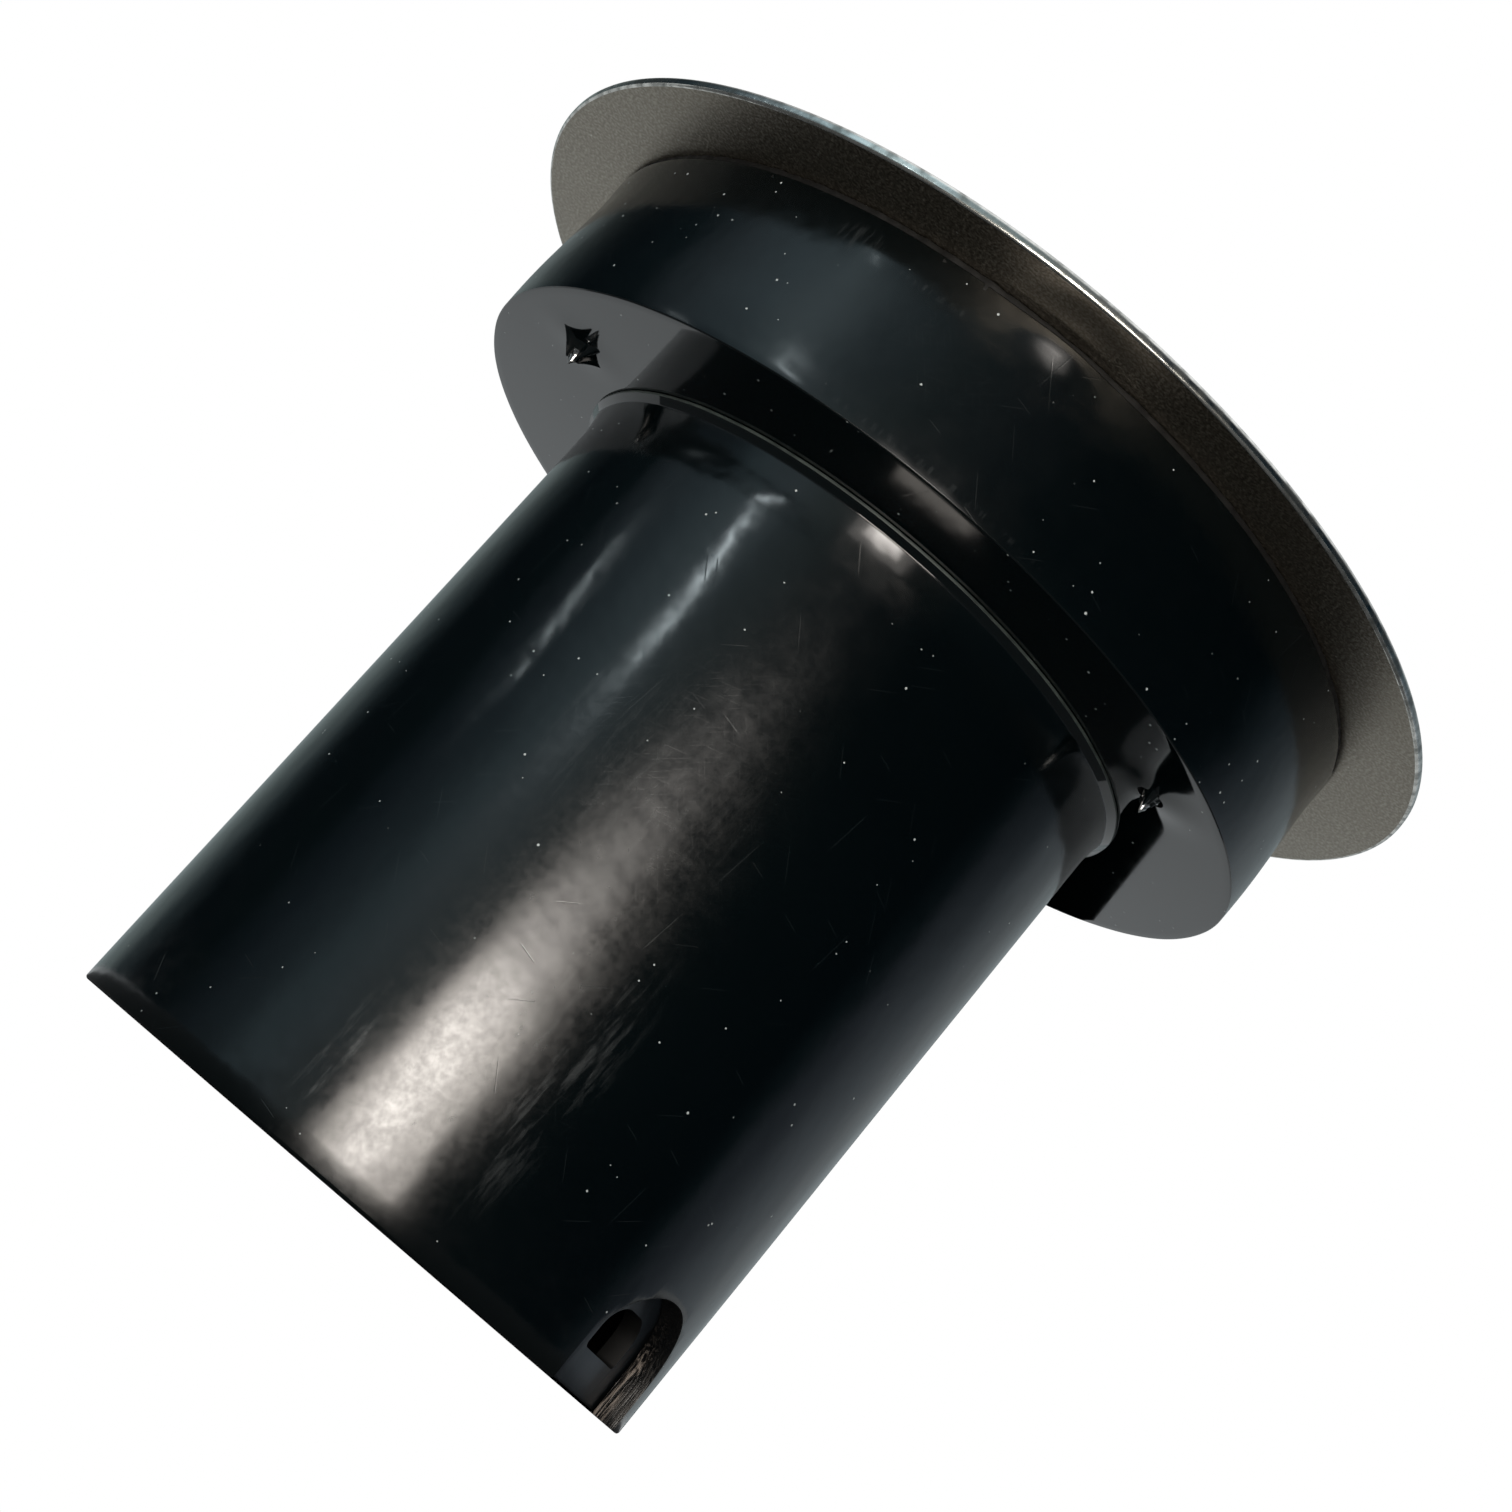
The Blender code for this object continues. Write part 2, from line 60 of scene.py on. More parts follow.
# Sizes read from the frame
SLEEVE_LOW, SLEEVE_HIGH = span("sleeve_tube")
COLLAR_LOW, COLLAR_HIGH = span("collar_housing")
PLATE_LOW, PLATE_HIGH = span("cover_plate")
GASKET_LOW, GASKET_HIGH = span("plate_gasket")
DRUM_LOW, DRUM_HIGH = span("valve_drum")
KNOB_LOW, KNOB_HIGH = span("knob")
CAP_LOW, CAP_HIGH = span("knob_cap")
DRUM_R = DRUM_HIGH.x
COLLAR_R = COLLAR_HIGH.x
PLATE_R = PLATE_HIGH.x
KNOB_R = 16.0
LEDGE_R = SLEEVE_HIGH.x

# Sizes that a box does not give
GAP = 0.3
SLEEVE_WALL = 2.45
SLEEVE_BORE = DRUM_R + GAP
SLEEVE_R = SLEEVE_BORE + SLEEVE_WALL
LIP_R = SLEEVE_R + 1.0
DRAFT = 0.48
COLLAR_WALL = 2.6
COLLAR_FLOOR = 3.0
NOTCH_AZIMUTH = 57.5
NOTCH_HALF_WIDTH = 7.48
NOTCH_HEIGHT = 11.0
WINDOW_AZIMUTH = 59.3
WINDOW_HALF_WIDTH = 3.6
WINDOW_BOTTOM = 3.7
WINDOW_TOP = 8.4
SCREW_AZIMUTHS = (-68.5, 51.5, 171.5)
SCREW_CIRCLE = 36.9
SCREW_TIP = span("plate_screw_1")[0].z
INLET_CIRCLE = 21.0


# ---------------------------------------------------------------- materials


def linear(colour):
    """An sRGB hex colour as linear RGBA."""
    channels = [int(colour[i : i + 2], 16) / 255 for i in (0, 2, 4)]
    return [c / 12.92 if c <= 0.04045 else ((c + 0.055) / 1.055) ** 2.4 for c in channels] + [1.0]


def plug(tree, node, inputs):
    """Sets or links a node's inputs by name or number."""
    for key, value in inputs.items():
        if isinstance(value, bpy.types.NodeSocket):
            tree.links.new(value, node.inputs[key])
        else:
            node.inputs[key].default_value = value


def add(tree, kind, inputs=None, stops=(), out=0, **settings):
    """Adds a node with its settings and inputs, and gives one of its outputs, or the node where
    out is None. A colour ramp also takes (position, value) stops, grey or coloured."""
    made = tree.nodes.new("ShaderNode" + kind)
    for number, (position, value) in enumerate(stops):
        elements = made.color_ramp.elements
        stop = elements[number] if number < 2 else elements.new(position)
        stop.position = position
        stop.color = value if isinstance(value, (list, tuple)) else (value, value, value, 1)
    for key, value in settings.items():
        setattr(made, key, value)
    plug(tree, made, inputs or {})
    return made if out is None or not made.outputs else made.outputs[out]


def new_material(name):
    """An empty material with its tree and its shader."""
    material = bpy.data.materials.new(name)
    material.use_nodes = True
    tree = material.node_tree
    tree.nodes.clear()
    shader = add(tree, "BsdfPrincipled", out=None)
    add(tree, "OutputMaterial", {"Surface": shader.outputs[0]}, is_active_output=True)
    return material, tree, shader


def millimetres(tree):
    """The piece's own coordinates in millimetres."""
    coordinates = add(tree, "TexCoord", out="Object")
    return add(tree, "VectorMath", {0: coordinates, 1: [1 / MM] * 3}, operation="MULTIPLY")


def unrolled(tree, radius):
    """(arc length, height, distance from the axis) in millimetres, as if cut along the back."""
    place = add(tree, "SeparateXYZ", {0: millimetres(tree)}, out=None)
    back = add(tree, "Math", {0: place.outputs[1], 1: -1.0}, operation="MULTIPLY")
    turn = add(tree, "Math", {0: place.outputs[0], 1: back}, operation="ARCTAN2")
    arc = add(tree, "Math", {0: turn, 1: radius}, operation="MULTIPLY")
    flat = add(tree, "CombineXYZ", {0: place.outputs[0], 1: place.outputs[1]})
    away = add(tree, "VectorMath", {0: flat}, operation="LENGTH", out="Value")
    return add(tree, "CombineXYZ", {0: arc, 1: place.outputs[2], 2: away})


def patch(tree, where, azimuth, height, across, along, radius):
    """1 inside a soft oval patch of an unrolled wall, 0 outside it."""
    shift = [math.radians(azimuth) * radius, height, 0.0]
    place = add(tree, "VectorMath", {0: where, 1: shift}, operation="SUBTRACT")
    scaled = add(
        tree, "VectorMath", {0: place, 1: (1 / across, 1 / along, 0)}, operation="MULTIPLY"
    )
    away = add(tree, "VectorMath", {0: scaled}, operation="LENGTH", out="Value")
    return add(
        tree,
        "MapRange",
        {0: away, 1: 1.0, 2: 0.35, 3: 0.0, 4: 1.0},
        interpolation_type="SMOOTHSTEP",
    )


def scratches(tree, where, angle, spacing, length, keep):
    """Short fine lines at one angle: a value near 1 on a line. Spacing and length in mm."""
    turned_place = add(
        tree,
        "VectorRotate",
        {"Vector": where, "Angle": math.radians(angle)},
        rotation_type="Z_AXIS",
    )
    stretched = add(
        tree, "VectorMath", {0: turned_place, 1: (1 / spacing, 1 / length, 0)}, operation="MULTIPLY"
    )
    cells = add(
        tree,
        "TexVoronoi",
        {"Vector": stretched, "Scale": 1.0, "Randomness": 1.0},
        voronoi_dimensions="2D",
        out=None,
    )
    offset = add(
        tree, "VectorMath", {0: stretched, 1: cells.outputs["Position"]}, operation="SUBTRACT"
    )
    side = add(tree, "SeparateXYZ", {0: offset}, out=None)
    line = add(
        tree,
        "ValToRGB",
        {0: add(tree, "Math", {0: side.outputs[0]}, operation="ABSOLUTE")},
        [(0.0, 1.0), (0.055, 0.0)],
    )
    chosen = add(tree, "SeparateColor", {0: cells.outputs["Color"]})
    kept = add(tree, "Math", {0: chosen, 1: keep}, operation="LESS_THAN")
    ends = add(
        tree,
        "ValToRGB",
        {0: add(tree, "Math", {0: side.outputs[1]}, operation="ABSOLUTE")},
        [(0.25, 1.0), (0.42, 0.0)],
    )
    return add(
        tree,
        "Math",
        {0: add(tree, "Math", {0: line, 1: kept}, operation="MULTIPLY"), 1: ends},
        operation="MULTIPLY",
    )


def specks(tree, where, spacing, largest, keep):
    """Grains of white dust: a value near 1 on a grain. Spacing and size in mm."""
    cells = add(
        tree, "TexVoronoi", {"Vector": where, "Scale": 1 / spacing, "Randomness": 1.0}, out=None
    )
    pick = add(tree, "SeparateColor", {0: cells.outputs["Color"]}, out=None)
    kept = add(tree, "Math", {0: pick.outputs[0], 1: keep}, operation="LESS_THAN")
    size = add(tree, "Math", {0: pick.outputs[1], 1: largest / spacing}, operation="MULTIPLY")
    inside = add(tree, "Math", {0: cells.outputs["Distance"], 1: size}, operation="LESS_THAN")
    return add(tree, "Math", {0: inside, 1: kept}, operation="MULTIPLY")


def walls_only(tree):
    """1 on upright faces and 0 on level ones, with a quick change between."""
    normal = add(tree, "SeparateXYZ", {0: add(tree, "TexCoord", out="Normal")}, out=2)
    return add(
        tree,
        "ValToRGB",
        {0: add(tree, "Math", {0: normal}, operation="ABSOLUTE")},
        [(0.3, 1.0), (0.6, 0.0)],
    )


def black_abs(name, radius, scuffs_and_sheen=(), dust=0.25, gloss=(0.09, 0.14)):
    """Black ABS from a polished mould: deep black, satin gloss with a haze round its highlights.
    Handling leaves hairline scratches, chalky scuffs and grains of dust. Patches of the
    chalk_and_sheen kind are chalky dust on the sleeve and a painted highlight on the collar."""
    material, tree, shader = new_material(name)
    where = unrolled(tree, radius)
    solid = millimetres(tree)
    upright = walls_only(tree)
    # Scales are turns per millimetre: clouds 11 mm across, smears 2 mm, wisps 0.8 by 6 mm.
    cloud = add(tree, "TexNoise", {"Vector": solid, "Scale": 0.09, "Detail": 4.0})
    smear = add(tree, "TexNoise", {"Vector": solid, "Scale": 0.45, "Detail": 7.0})
    drawn = add(tree, "VectorMath", {0: where, 1: (1.3, 0.17, 0.0)}, operation="MULTIPLY")
    wisps = add(tree, "TexNoise", {"Vector": drawn, "Scale": 1.0, "Detail": 7.0, "Roughness": 0.65})
    # Hairlines and rubbed hairs: angle, spacing, length, share kept
    lines = scratches(tree, where, 55, 0.8, 3.4, 0.02)
    for angle, spacing, length, keep in (
        (-35, 0.9, 4.0, 0.02), (8, 1.4, 6.0, 0.02), (104, 1.0, 2.6, 0.02)
    ):
        more = scratches(tree, where, angle, spacing, length, keep)
        lines = add(tree, "Math", {0: lines, 1: more}, operation="MAXIMUM")
    grains = add(
        tree,
        "Math",
        {0: specks(tree, solid, 1.1, 0.12, dust), 1: specks(tree, solid, 5.0, 0.22, dust * 0.5)},
        operation="MAXIMUM",
    )
    # The chalk_and_sheen layer is chalky dust on the sleeve and a painted highlight on the collar.
    layers = {"chalk_and_sheen": 0.0, "haze": 0.0, "rub": 0.0}
    for azimuth, height, across, along, strength, kind in scuffs_and_sheen:
        oval = patch(tree, where, azimuth, height, across, along, radius)
        if kind == "chalk_and_sheen":
            strength = add(tree, "ValToRGB", {0: wisps}, [(0.5, 0.0), (0.66, strength)])
        spot = add(tree, "Math", {0: oval, 1: strength}, operation="MULTIPLY")
        layers[kind] = add(tree, "Math", {0: spot, 1: layers[kind]}, operation="MAXIMUM")
    if scuffs_and_sheen:
        hairs = scratches(tree, where, 48, 0.5, 2.6, 0.4)
        for angle, spacing, length, keep in (
            (-40, 0.55, 2.2, 0.35), (75, 0.6, 3.0, 0.3), (12, 0.7, 2.4, 0.3)
        ):
            hairs = add(
                tree,
                "Math",
                {0: hairs, 1: scratches(tree, where, angle, spacing, length, keep)},
                operation="MAXIMUM",
            )
        lines = add(
            tree,
            "Math",
            {0: lines, 1: add(tree, "Math", {0: hairs, 1: layers["rub"]}, operation="MULTIPLY")},
            operation="MAXIMUM",
        )
    lines = add(tree, "Math", {0: lines, 1: upright}, operation="MULTIPLY")
    faint = add(tree, "Math", {0: lines, 1: 0.05}, operation="MULTIPLY")
    base = add(
        tree, "Mix", {0: cloud, 6: linear("010405"), 7: linear("030708")}, data_type="RGBA", out=2
    )
    # Pale greys laid on the black: scratches, chalky dust or painted collar highlight, and dust
    # grains.
    for share, colour in ((faint, "5a6264"), (layers["chalk_and_sheen"], "5c5f60"), (grains, "a4aaa9")):
        base = add(tree, "Mix", {0: share, 6: base, 7: linear(colour)}, data_type="RGBA", out=2)
    # Handling breaks the haze into blotches near 0.7 mm across.
    blotch = add(tree, "TexNoise", {"Vector": solid, "Scale": 1.5, "Detail": 9.0, "Roughness": 0.7})
    blotch = add(tree, "ValToRGB", {0: blotch}, [(0.36, 0.7), (0.64, 1.35)])
    polish = add(tree, "ValToRGB", {0: smear}, [(0.3, gloss[0]), (0.7, gloss[1])])
    for layer, share in (
        (lines, 0.07), (layers["haze"], blotch), (layers["chalk_and_sheen"], 0.3), (grains, 0.5)
    ):
        extra = add(tree, "Math", {0: layer, 1: share}, operation="MULTIPLY")
        polish = add(tree, "Math", {0: polish, 1: extra}, operation="ADD")
    calm = add(tree, "MapRange", {0: upright, 1: 0.0, 2: 1.0, 3: 0.4, 4: 1.0})
    peel = add(tree, "TexNoise", {"Vector": solid, "Scale": 0.22, "Detail": 2.0})
    peel = add(tree, "Math", {0: peel, 1: upright}, operation="MULTIPLY")
    wave = add(tree, "Bump", {"Height": peel, "Strength": 1.0, "Distance": 0.045 * MM})
    fine = add(
        tree,
        "Bump",
        {"Height": lines, "Strength": 0.3, "Distance": 0.01 * MM, "Normal": wave},
        invert=True,
    )
    dusty = add(
        tree, "Bump", {"Height": grains, "Strength": 0.3, "Distance": 0.03 * MM, "Normal": fine}
    )
    plug(tree, shader, {
        "Base Color": base,
        "Roughness": add(tree, "Math", {0: polish, 1: calm}, operation="MULTIPLY"),
        "Normal": dusty,
        "IOR": 1.52,
    })
    return material


def cut_abs(name):
    """ABS cut by a mill, with the cutter's lines along the cut. The lines' pale brown is a painted
    highlight, kept to the inner, lower part of the cut; elsewhere the cut is near black.
    """
    material, tree, shader = new_material(name)
    solid = millimetres(tree)
    # The cutter's lines stand 0.2 mm apart and run 3 mm.
    stretched = add(tree, "VectorMath", {0: solid, 1: (5.0, 5.0, 0.3)}, operation="MULTIPLY")
    lines = add(tree, "TexNoise", {"Vector": stretched, "Scale": 1.0, "Detail": 5.0})
    flat = add(tree, "VectorMath", {0: solid, 1: (1.0, 1.0, 0.0)}, operation="MULTIPLY")
    away = add(tree, "VectorMath", {0: flat}, operation="LENGTH", out="Value")
    # Painted highlight: the cutter's lines show pale brown only near the bore.
    inner = add(
        tree, "MapRange", {0: away, 1: SLEEVE_BORE + 1.4, 2: SLEEVE_BORE + 0.8, 3: 0.08, 4: 1.0}
    )
    # The cutter's lines in near black, with a pale brown painted highlight on their crests.
    colour = add(
        tree,
        "ValToRGB",
        {0: lines},
        [(0.42, linear("070707")), (0.52, linear("2a2623")), (0.6, linear("8a8078"))],
    )
    height = add(tree, "SeparateXYZ", {0: solid}, out=2)
    # The painted highlight fades out above 5.2 mm; the upper part of the cut stays near black.
    lower = add(tree, "MapRange", {0: height, 1: 7.6, 2: 5.2, 3: 0.06, 4: 1.0})
    highlight_share = add(tree, "Math", {0: inner, 1: lower}, operation="MULTIPLY")
    colour = add(tree, "Mix", {0: highlight_share, 6: linear("060708"), 7: colour}, data_type="RGBA", out=2)
    groove = add(tree, "Bump", {"Height": lines, "Strength": 0.8, "Distance": 0.12 * MM})
    plug(tree, shader, {
        "Base Color": colour,
        "Roughness": add(tree, "ValToRGB", {0: lines}, [(0.3, 0.28), (0.7, 0.5)]),
        "Normal": groove,
        "IOR": 1.52,
    })
    return material


def blasted_steel(name):
    """Stainless steel blasted with glass beads: an even grey-olive grain, warm and matt."""
    material, tree, shader = new_material(name)
    solid = millimetres(tree)
    # Real bead marks are near 0.1 mm and would not show, so they are drawn 0.3 mm across.
    grain = add(tree, "TexNoise", {"Vector": solid, "Scale": 3.4, "Detail": 2.0, "Roughness": 0.6})
    cloud = add(tree, "TexNoise", {"Vector": solid, "Scale": 0.08, "Detail": 3.0})
    base = add(
        tree,
        "ValToRGB",
        {0: grain},
        [(0.36, linear("7e786c")), (0.5, linear("989184")), (0.66, linear("bdb7ab"))],
    )
    base = add(
        tree,
        "Mix",
        {
            0: add(tree, "Math", {0: cloud, 1: 0.4}, operation="MULTIPLY"),
            6: base,
            7: linear("857b6c"),
        },
        data_type="RGBA",
        out=2,
    )
    base = add(
        tree,
        "Mix",
        {0: specks(tree, solid, 1.4, 0.16, 0.3), 6: base, 7: linear("dcdad2")},
        data_type="RGBA",
        out=2,
    )
    bump = add(tree, "Bump", {"Height": grain, "Strength": 0.8, "Distance": 0.03 * MM})
    plug(tree, shader, {
        "Base Color": base,
        "Roughness": add(tree, "ValToRGB", {0: grain}, [(0.3, 0.32), (0.7, 0.44)]),
        "Normal": bump,
        "Metallic": 1.0,
    })
    return material


def polished_steel(name):
    """The plate's turned and polished rim: bright, with small nicks from handling."""
    material, tree, shader = new_material(name)
    where = unrolled(tree, PLATE_R)
    # Nicks are near a millimetre long.
    nicks = add(tree, "TexNoise", {"Vector": where, "Scale": 0.8, "Detail": 6.0})
    base = add(tree, "ValToRGB", {0: nicks}, [(0.35, linear("9a9b96")), (0.6, linear("e6e5df"))])
    bump = add(tree, "Bump", {"Height": nicks, "Strength": 0.5, "Distance": 0.06 * MM})
    plug(tree, shader, {
        "Base Color": base,
        "Roughness": add(tree, "ValToRGB", {0: nicks}, [(0.35, 0.34), (0.65, 0.14)]),
        "Normal": bump,
        "Metallic": 1.0,
    })
    return material


def brushed_steel(name):
    """Stainless steel brushed in circles on a lathe: fine concentric lines and soft glare."""
    material, tree, shader = new_material(name)
    where = unrolled(tree, 1.0)
    # Real brush lines are near 0.05 mm and would not show, so they are drawn 0.17 mm apart.
    rings = add(tree, "VectorMath", {0: where, 1: (0.5, 0.0, 6.0)}, operation="MULTIPLY")
    lines = add(tree, "TexNoise", {"Vector": rings, "Scale": 1.0, "Detail": 6.0, "Roughness": 0.7})
    solid = millimetres(tree)
    smear = add(tree, "TexNoise", {"Vector": solid, "Scale": 0.1, "Detail": 4.0})
    base = add(tree, "ValToRGB", {0: lines}, [(0.3, linear("9c9c98")), (0.7, linear("c4c4c0"))])
    gloss = add(
        tree,
        "Math",
        {
            0: add(tree, "ValToRGB", {0: lines}, [(0.3, 0.24), (0.7, 0.36)]),
            1: add(tree, "Math", {0: smear, 1: 0.12}, operation="MULTIPLY"),
        },
        operation="ADD",
    )
    bump = add(tree, "Bump", {"Height": lines, "Strength": 0.35, "Distance": 0.02 * MM})
    plug(tree, shader, {"Base Color": base, "Roughness": gloss, "Normal": bump, "Metallic": 1.0})
    return material


def plain_metal(name, low, high, roughness):
    """Plated or turned steel of small parts: even, with faint tool marks."""
    material, tree, shader = new_material(name)
    solid = millimetres(tree)
    marks = add(tree, "TexNoise", {"Vector": solid, "Scale": 1.8, "Detail": 5.0})
    plug(
        tree,
        shader,
        {
            "Base Color": add(
                tree, "ValToRGB", {0: marks}, [(0.35, linear(low)), (0.65, linear(high))]
            ),
            "Roughness": add(
                tree, "ValToRGB", {0: marks}, [(0.3, roughness), (0.7, roughness + 0.12)]
            ),
            "Metallic": 1.0,
        },
    )
    return material


def plain_polymer(name, low, high, roughness, grain):
    """Moulded rubber or plastic of small parts: a faint cloud in the colour and a fine skin."""
    material, tree, shader = new_material(name)
    solid = millimetres(tree)
    cloud = add(tree, "TexNoise", {"Vector": solid, "Scale": 0.6, "Detail": 4.0})
    skin = add(tree, "TexNoise", {"Vector": solid, "Scale": grain, "Detail": 3.0})
    bump = add(tree, "Bump", {"Height": skin, "Strength": 0.3, "Distance": 0.03 * MM})
    plug(
        tree,
        shader,
        {
            "Base Color": add(
                tree, "ValToRGB", {0: cloud}, [(0.35, linear(low)), (0.65, linear(high))]
            ),
            "Roughness": add(
                tree, "ValToRGB", {0: cloud}, [(0.3, roughness), (0.7, roughness + 0.1)]
            ),
            "Normal": bump,
        },
    )
    return material


# Scuff marks and painted highlights: azimuth, height, half width, half height, strength, kind
SLEEVE_SCUFFS = (
    (-4.0, 26.0, 15.0, 48.0, 0.11, "haze"),
    (-10.0, 44.0, 11.0, 14.0, 0.5, "rub"),
    (4.0, 40.0, 8.0, 15.0, 0.3, "rub"),
    (-16.0, 30.0, 6.0, 7.0, 0.3, "rub"),
    (-9.0, 41.0, 13.0, 11.0, 0.06, "chalk_and_sheen"),
    (12.0, 17.0, 3.6, 15.0, 0.2, "chalk_and_sheen"),
    (3.0, 18.0, 3.0, 14.0, 0.1, "chalk_and_sheen"),
    (-16.0, 8.0, 2.0, 9.0, 0.22, "chalk_and_sheen"),
    (14.0, 18.0, 3.0, 15.0, 0.4, "rub"),
)
# On the collar the chalk_and_sheen patches paint pale highlight bands near the top and along the
# bottom edge.
COLLAR_SCUFFS_AND_SHEEN = (
    (-27.0, 83.4, 3.0, 1.6, 0.16, "chalk_and_sheen"),
    (-16.0, 82.6, 5.0, 0.5, 0.16, "chalk_and_sheen"),
    (-4.0, 70.4, 14.0, 0.5, 0.12, "chalk_and_sheen"),
    (-12.0, 78.0, 10.0, 6.0, 0.6, "rub"),
)
SLEEVE_ABS = black_abs("moulded_black_abs_sleeve", SLEEVE_R, SLEEVE_SCUFFS, 0.22)
COLLAR_ABS = black_abs("moulded_black_abs_collar", COLLAR_R, COLLAR_SCUFFS_AND_SHEEN, 0.5, (0.12, 0.19))
KNOB_ABS = black_abs("moulded_black_abs_knob", KNOB_R, (), 0.12)
DRUM_ABS = plain_polymer("moulded_charcoal_abs", "22272c", "2c3238", 0.3, 2.0)
# Near black for the drum's bore and window walls: painted shade inside the drum.
SHADE_BLACK_ABS = plain_polymer("black_abs_painted_shade", "010101", "030303", 0.6, 2.0)
CUT_ABS = cut_abs("milled_black_abs")
# A pale grey for the lip's outer edge: a painted highlight line.
LIP_HIGHLIGHT_ABS = plain_polymer("black_abs_painted_lip_highlight", "262c2a", "3a413e", 0.4, 3.0)
BLASTED = blasted_steel("bead_blasted_stainless")
POLISHED = polished_steel("polished_stainless_rim")
BRUSHED = brushed_steel("lathe_brushed_stainless")
ZINC = plain_metal("bright_zinc_plate", "a9abab", "dfe1e2", 0.16)
STEEL = plain_metal("turned_stainless", "8e8e8b", "b5b5b1", 0.28)
NICKEL = plain_metal("nickel_plate", "a39f97", "c8c5bd", 0.2)
RUBBER = plain_polymer("nitrile_rubber", "030303", "080808", 0.6, 1.5)
ACETAL = plain_polymer("white_acetal", "c9c6bd", "e0ded6", 0.35, 1.5)


# ---------------------------------------------------------------- mesh tools


def at(radius, azimuth, z=0.0):
    """A point in millimetres."""
    turn = math.radians(azimuth)
    return Vector((radius * math.sin(turn), -radius * math.cos(turn), z))


def facing(azimuth):
    """The turn about Z that takes +X to an azimuth."""
    return Matrix.Rotation(math.radians(azimuth - 90.0), 4, "Z")


def rounded(corners, steps=5):
    """An outline of (r, z) points from (r, z, fillet) corners, with each corner an arc."""
    outline = []
    count = len(corners)
    for number, (r, z, fillet) in enumerate(corners):
        corner = Vector((r, z))
        if fillet <= 0:
            outline.append(corner)
            continue
        before = (Vector(corners[number - 1][:2]) - corner).normalized()
        after = (Vector(corners[(number + 1) % count][:2]) - corner).normalized()
        half = before.angle(after) / 2
        centre = corner + (before + after).normalized() * fillet / math.sin(half)
        start = corner + before * fillet / math.tan(half) - centre
        end = corner + after * fillet / math.tan(half) - centre
        first = math.atan2(start.y, start.x)
        sweep = (math.atan2(end.y, end.x) - first + math.pi) % math.tau - math.pi
        for step in range(steps + 1):
            turn = first + sweep * step / steps
            outline.append(centre + Vector((math.cos(turn), math.sin(turn))) * fillet)
    return outline


def divided(outline, longest):
    """The same closed outline with more points where two stand further apart than longest."""
    made = []
    for first, second in zip(outline, outline[1:] + outline[:1]):
        parts = max(1, math.ceil((second - first).length / longest))
        made += [first.lerp(second, k / parts) for k in range(parts)]
    return made


def turned_mesh(outline, steps, closed=True):
    """A mesh turned about Z from an outline that runs down its outer side."""
    form = bmesh.new()
    rings = []
    for r, z in outline:
        if r < 1e-6:
            rings.append([form.verts.new((0, 0, z))] * steps)
        else:
            rings.append(
                [
                    form.verts.new(
                        (r * math.cos(math.tau * j / steps), r * math.sin(math.tau * j / steps), z)
                    )
                    for j in range(steps)
                ],
            )
    last = len(rings) if closed else len(rings) - 1
    for i in range(last):
        upper, lower = rings[i], rings[(i + 1) % len(rings)]
        for j in range(steps):
            k = (j + 1) % steps
            corners = [upper[j], lower[j], lower[k], upper[k]]
            unique = [v for n, v in enumerate(corners) if v not in corners[:n]]
            if len(unique) > 2:
                form.faces.new(unique)
    return form


def to_mesh(form, name, sharp=35.0):
    """Turns a form in millimetres into a mesh in metres."""
    bmesh.ops.scale(form, vec=[MM] * 3, verts=form.verts)
    mesh = bpy.data.meshes.new(name)
    form.to_mesh(mesh)
    form.free()
    mesh.shade_smooth()
    mesh.set_sharp_from_angle(angle=math.radians(sharp))
    return mesh


def show(name, mesh, body, slot, materials, *nodes):
    """Puts a finished piece on its body in place of its CAD nodes. Its slot argument is not used.
    """
    thing = bpy.data.objects.new(name, mesh)
    bpy.context.scene.collection.objects.link(thing)
    for material in materials:
        mesh.materials.append(material)
    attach(thing, body)
    if nodes:
        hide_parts(*nodes)


def cut(form, cutters, name, width=0.0):
    """Cuts forms out of a form and rounds the new edges. Cut faces get material 1."""

    def placed(shape):
        thing = bpy.data.objects.new(name, bpy.data.meshes.new(name))
        shape.to_mesh(thing.data)
        shape.free()
        thing.data.materials.append(SLEEVE_ABS)
        thing.data.materials.append(CUT_ABS)
        bpy.context.scene.collection.objects.link(thing)
        return thing

    body = placed(form)
    made = []
    for cutter in cutters:
        paint(cutter, 1, lambda face: True)
        blade = placed(cutter)
        step = body.modifiers.new("cut", "BOOLEAN")
        step.object = blade
        step.solver = "EXACT"
        made.append(blade)
    if width:
        rim = body.modifiers.new("rim", "BEVEL")
        rim.limit_method = "ANGLE"
        rim.angle_limit = math.radians(40)
        rim.width = width
        rim.segments = 3
        rim.use_clamp_overlap = True
    bpy.context.view_layer.update()
    result = bpy.data.meshes.new_from_object(
        body.evaluated_get(bpy.context.evaluated_depsgraph_get()),
        preserve_all_data_layers=True,
        depsgraph=bpy.context.evaluated_depsgraph_get(),
    )
    out = bmesh.new()
    out.from_mesh(result)
    bmesh.ops.remove_doubles(out, verts=out.verts, dist=1e-4)
    for thing in [body, *made]:
        bpy.data.objects.remove(thing, do_unlink=True)
    bpy.data.meshes.remove(result)
    return out


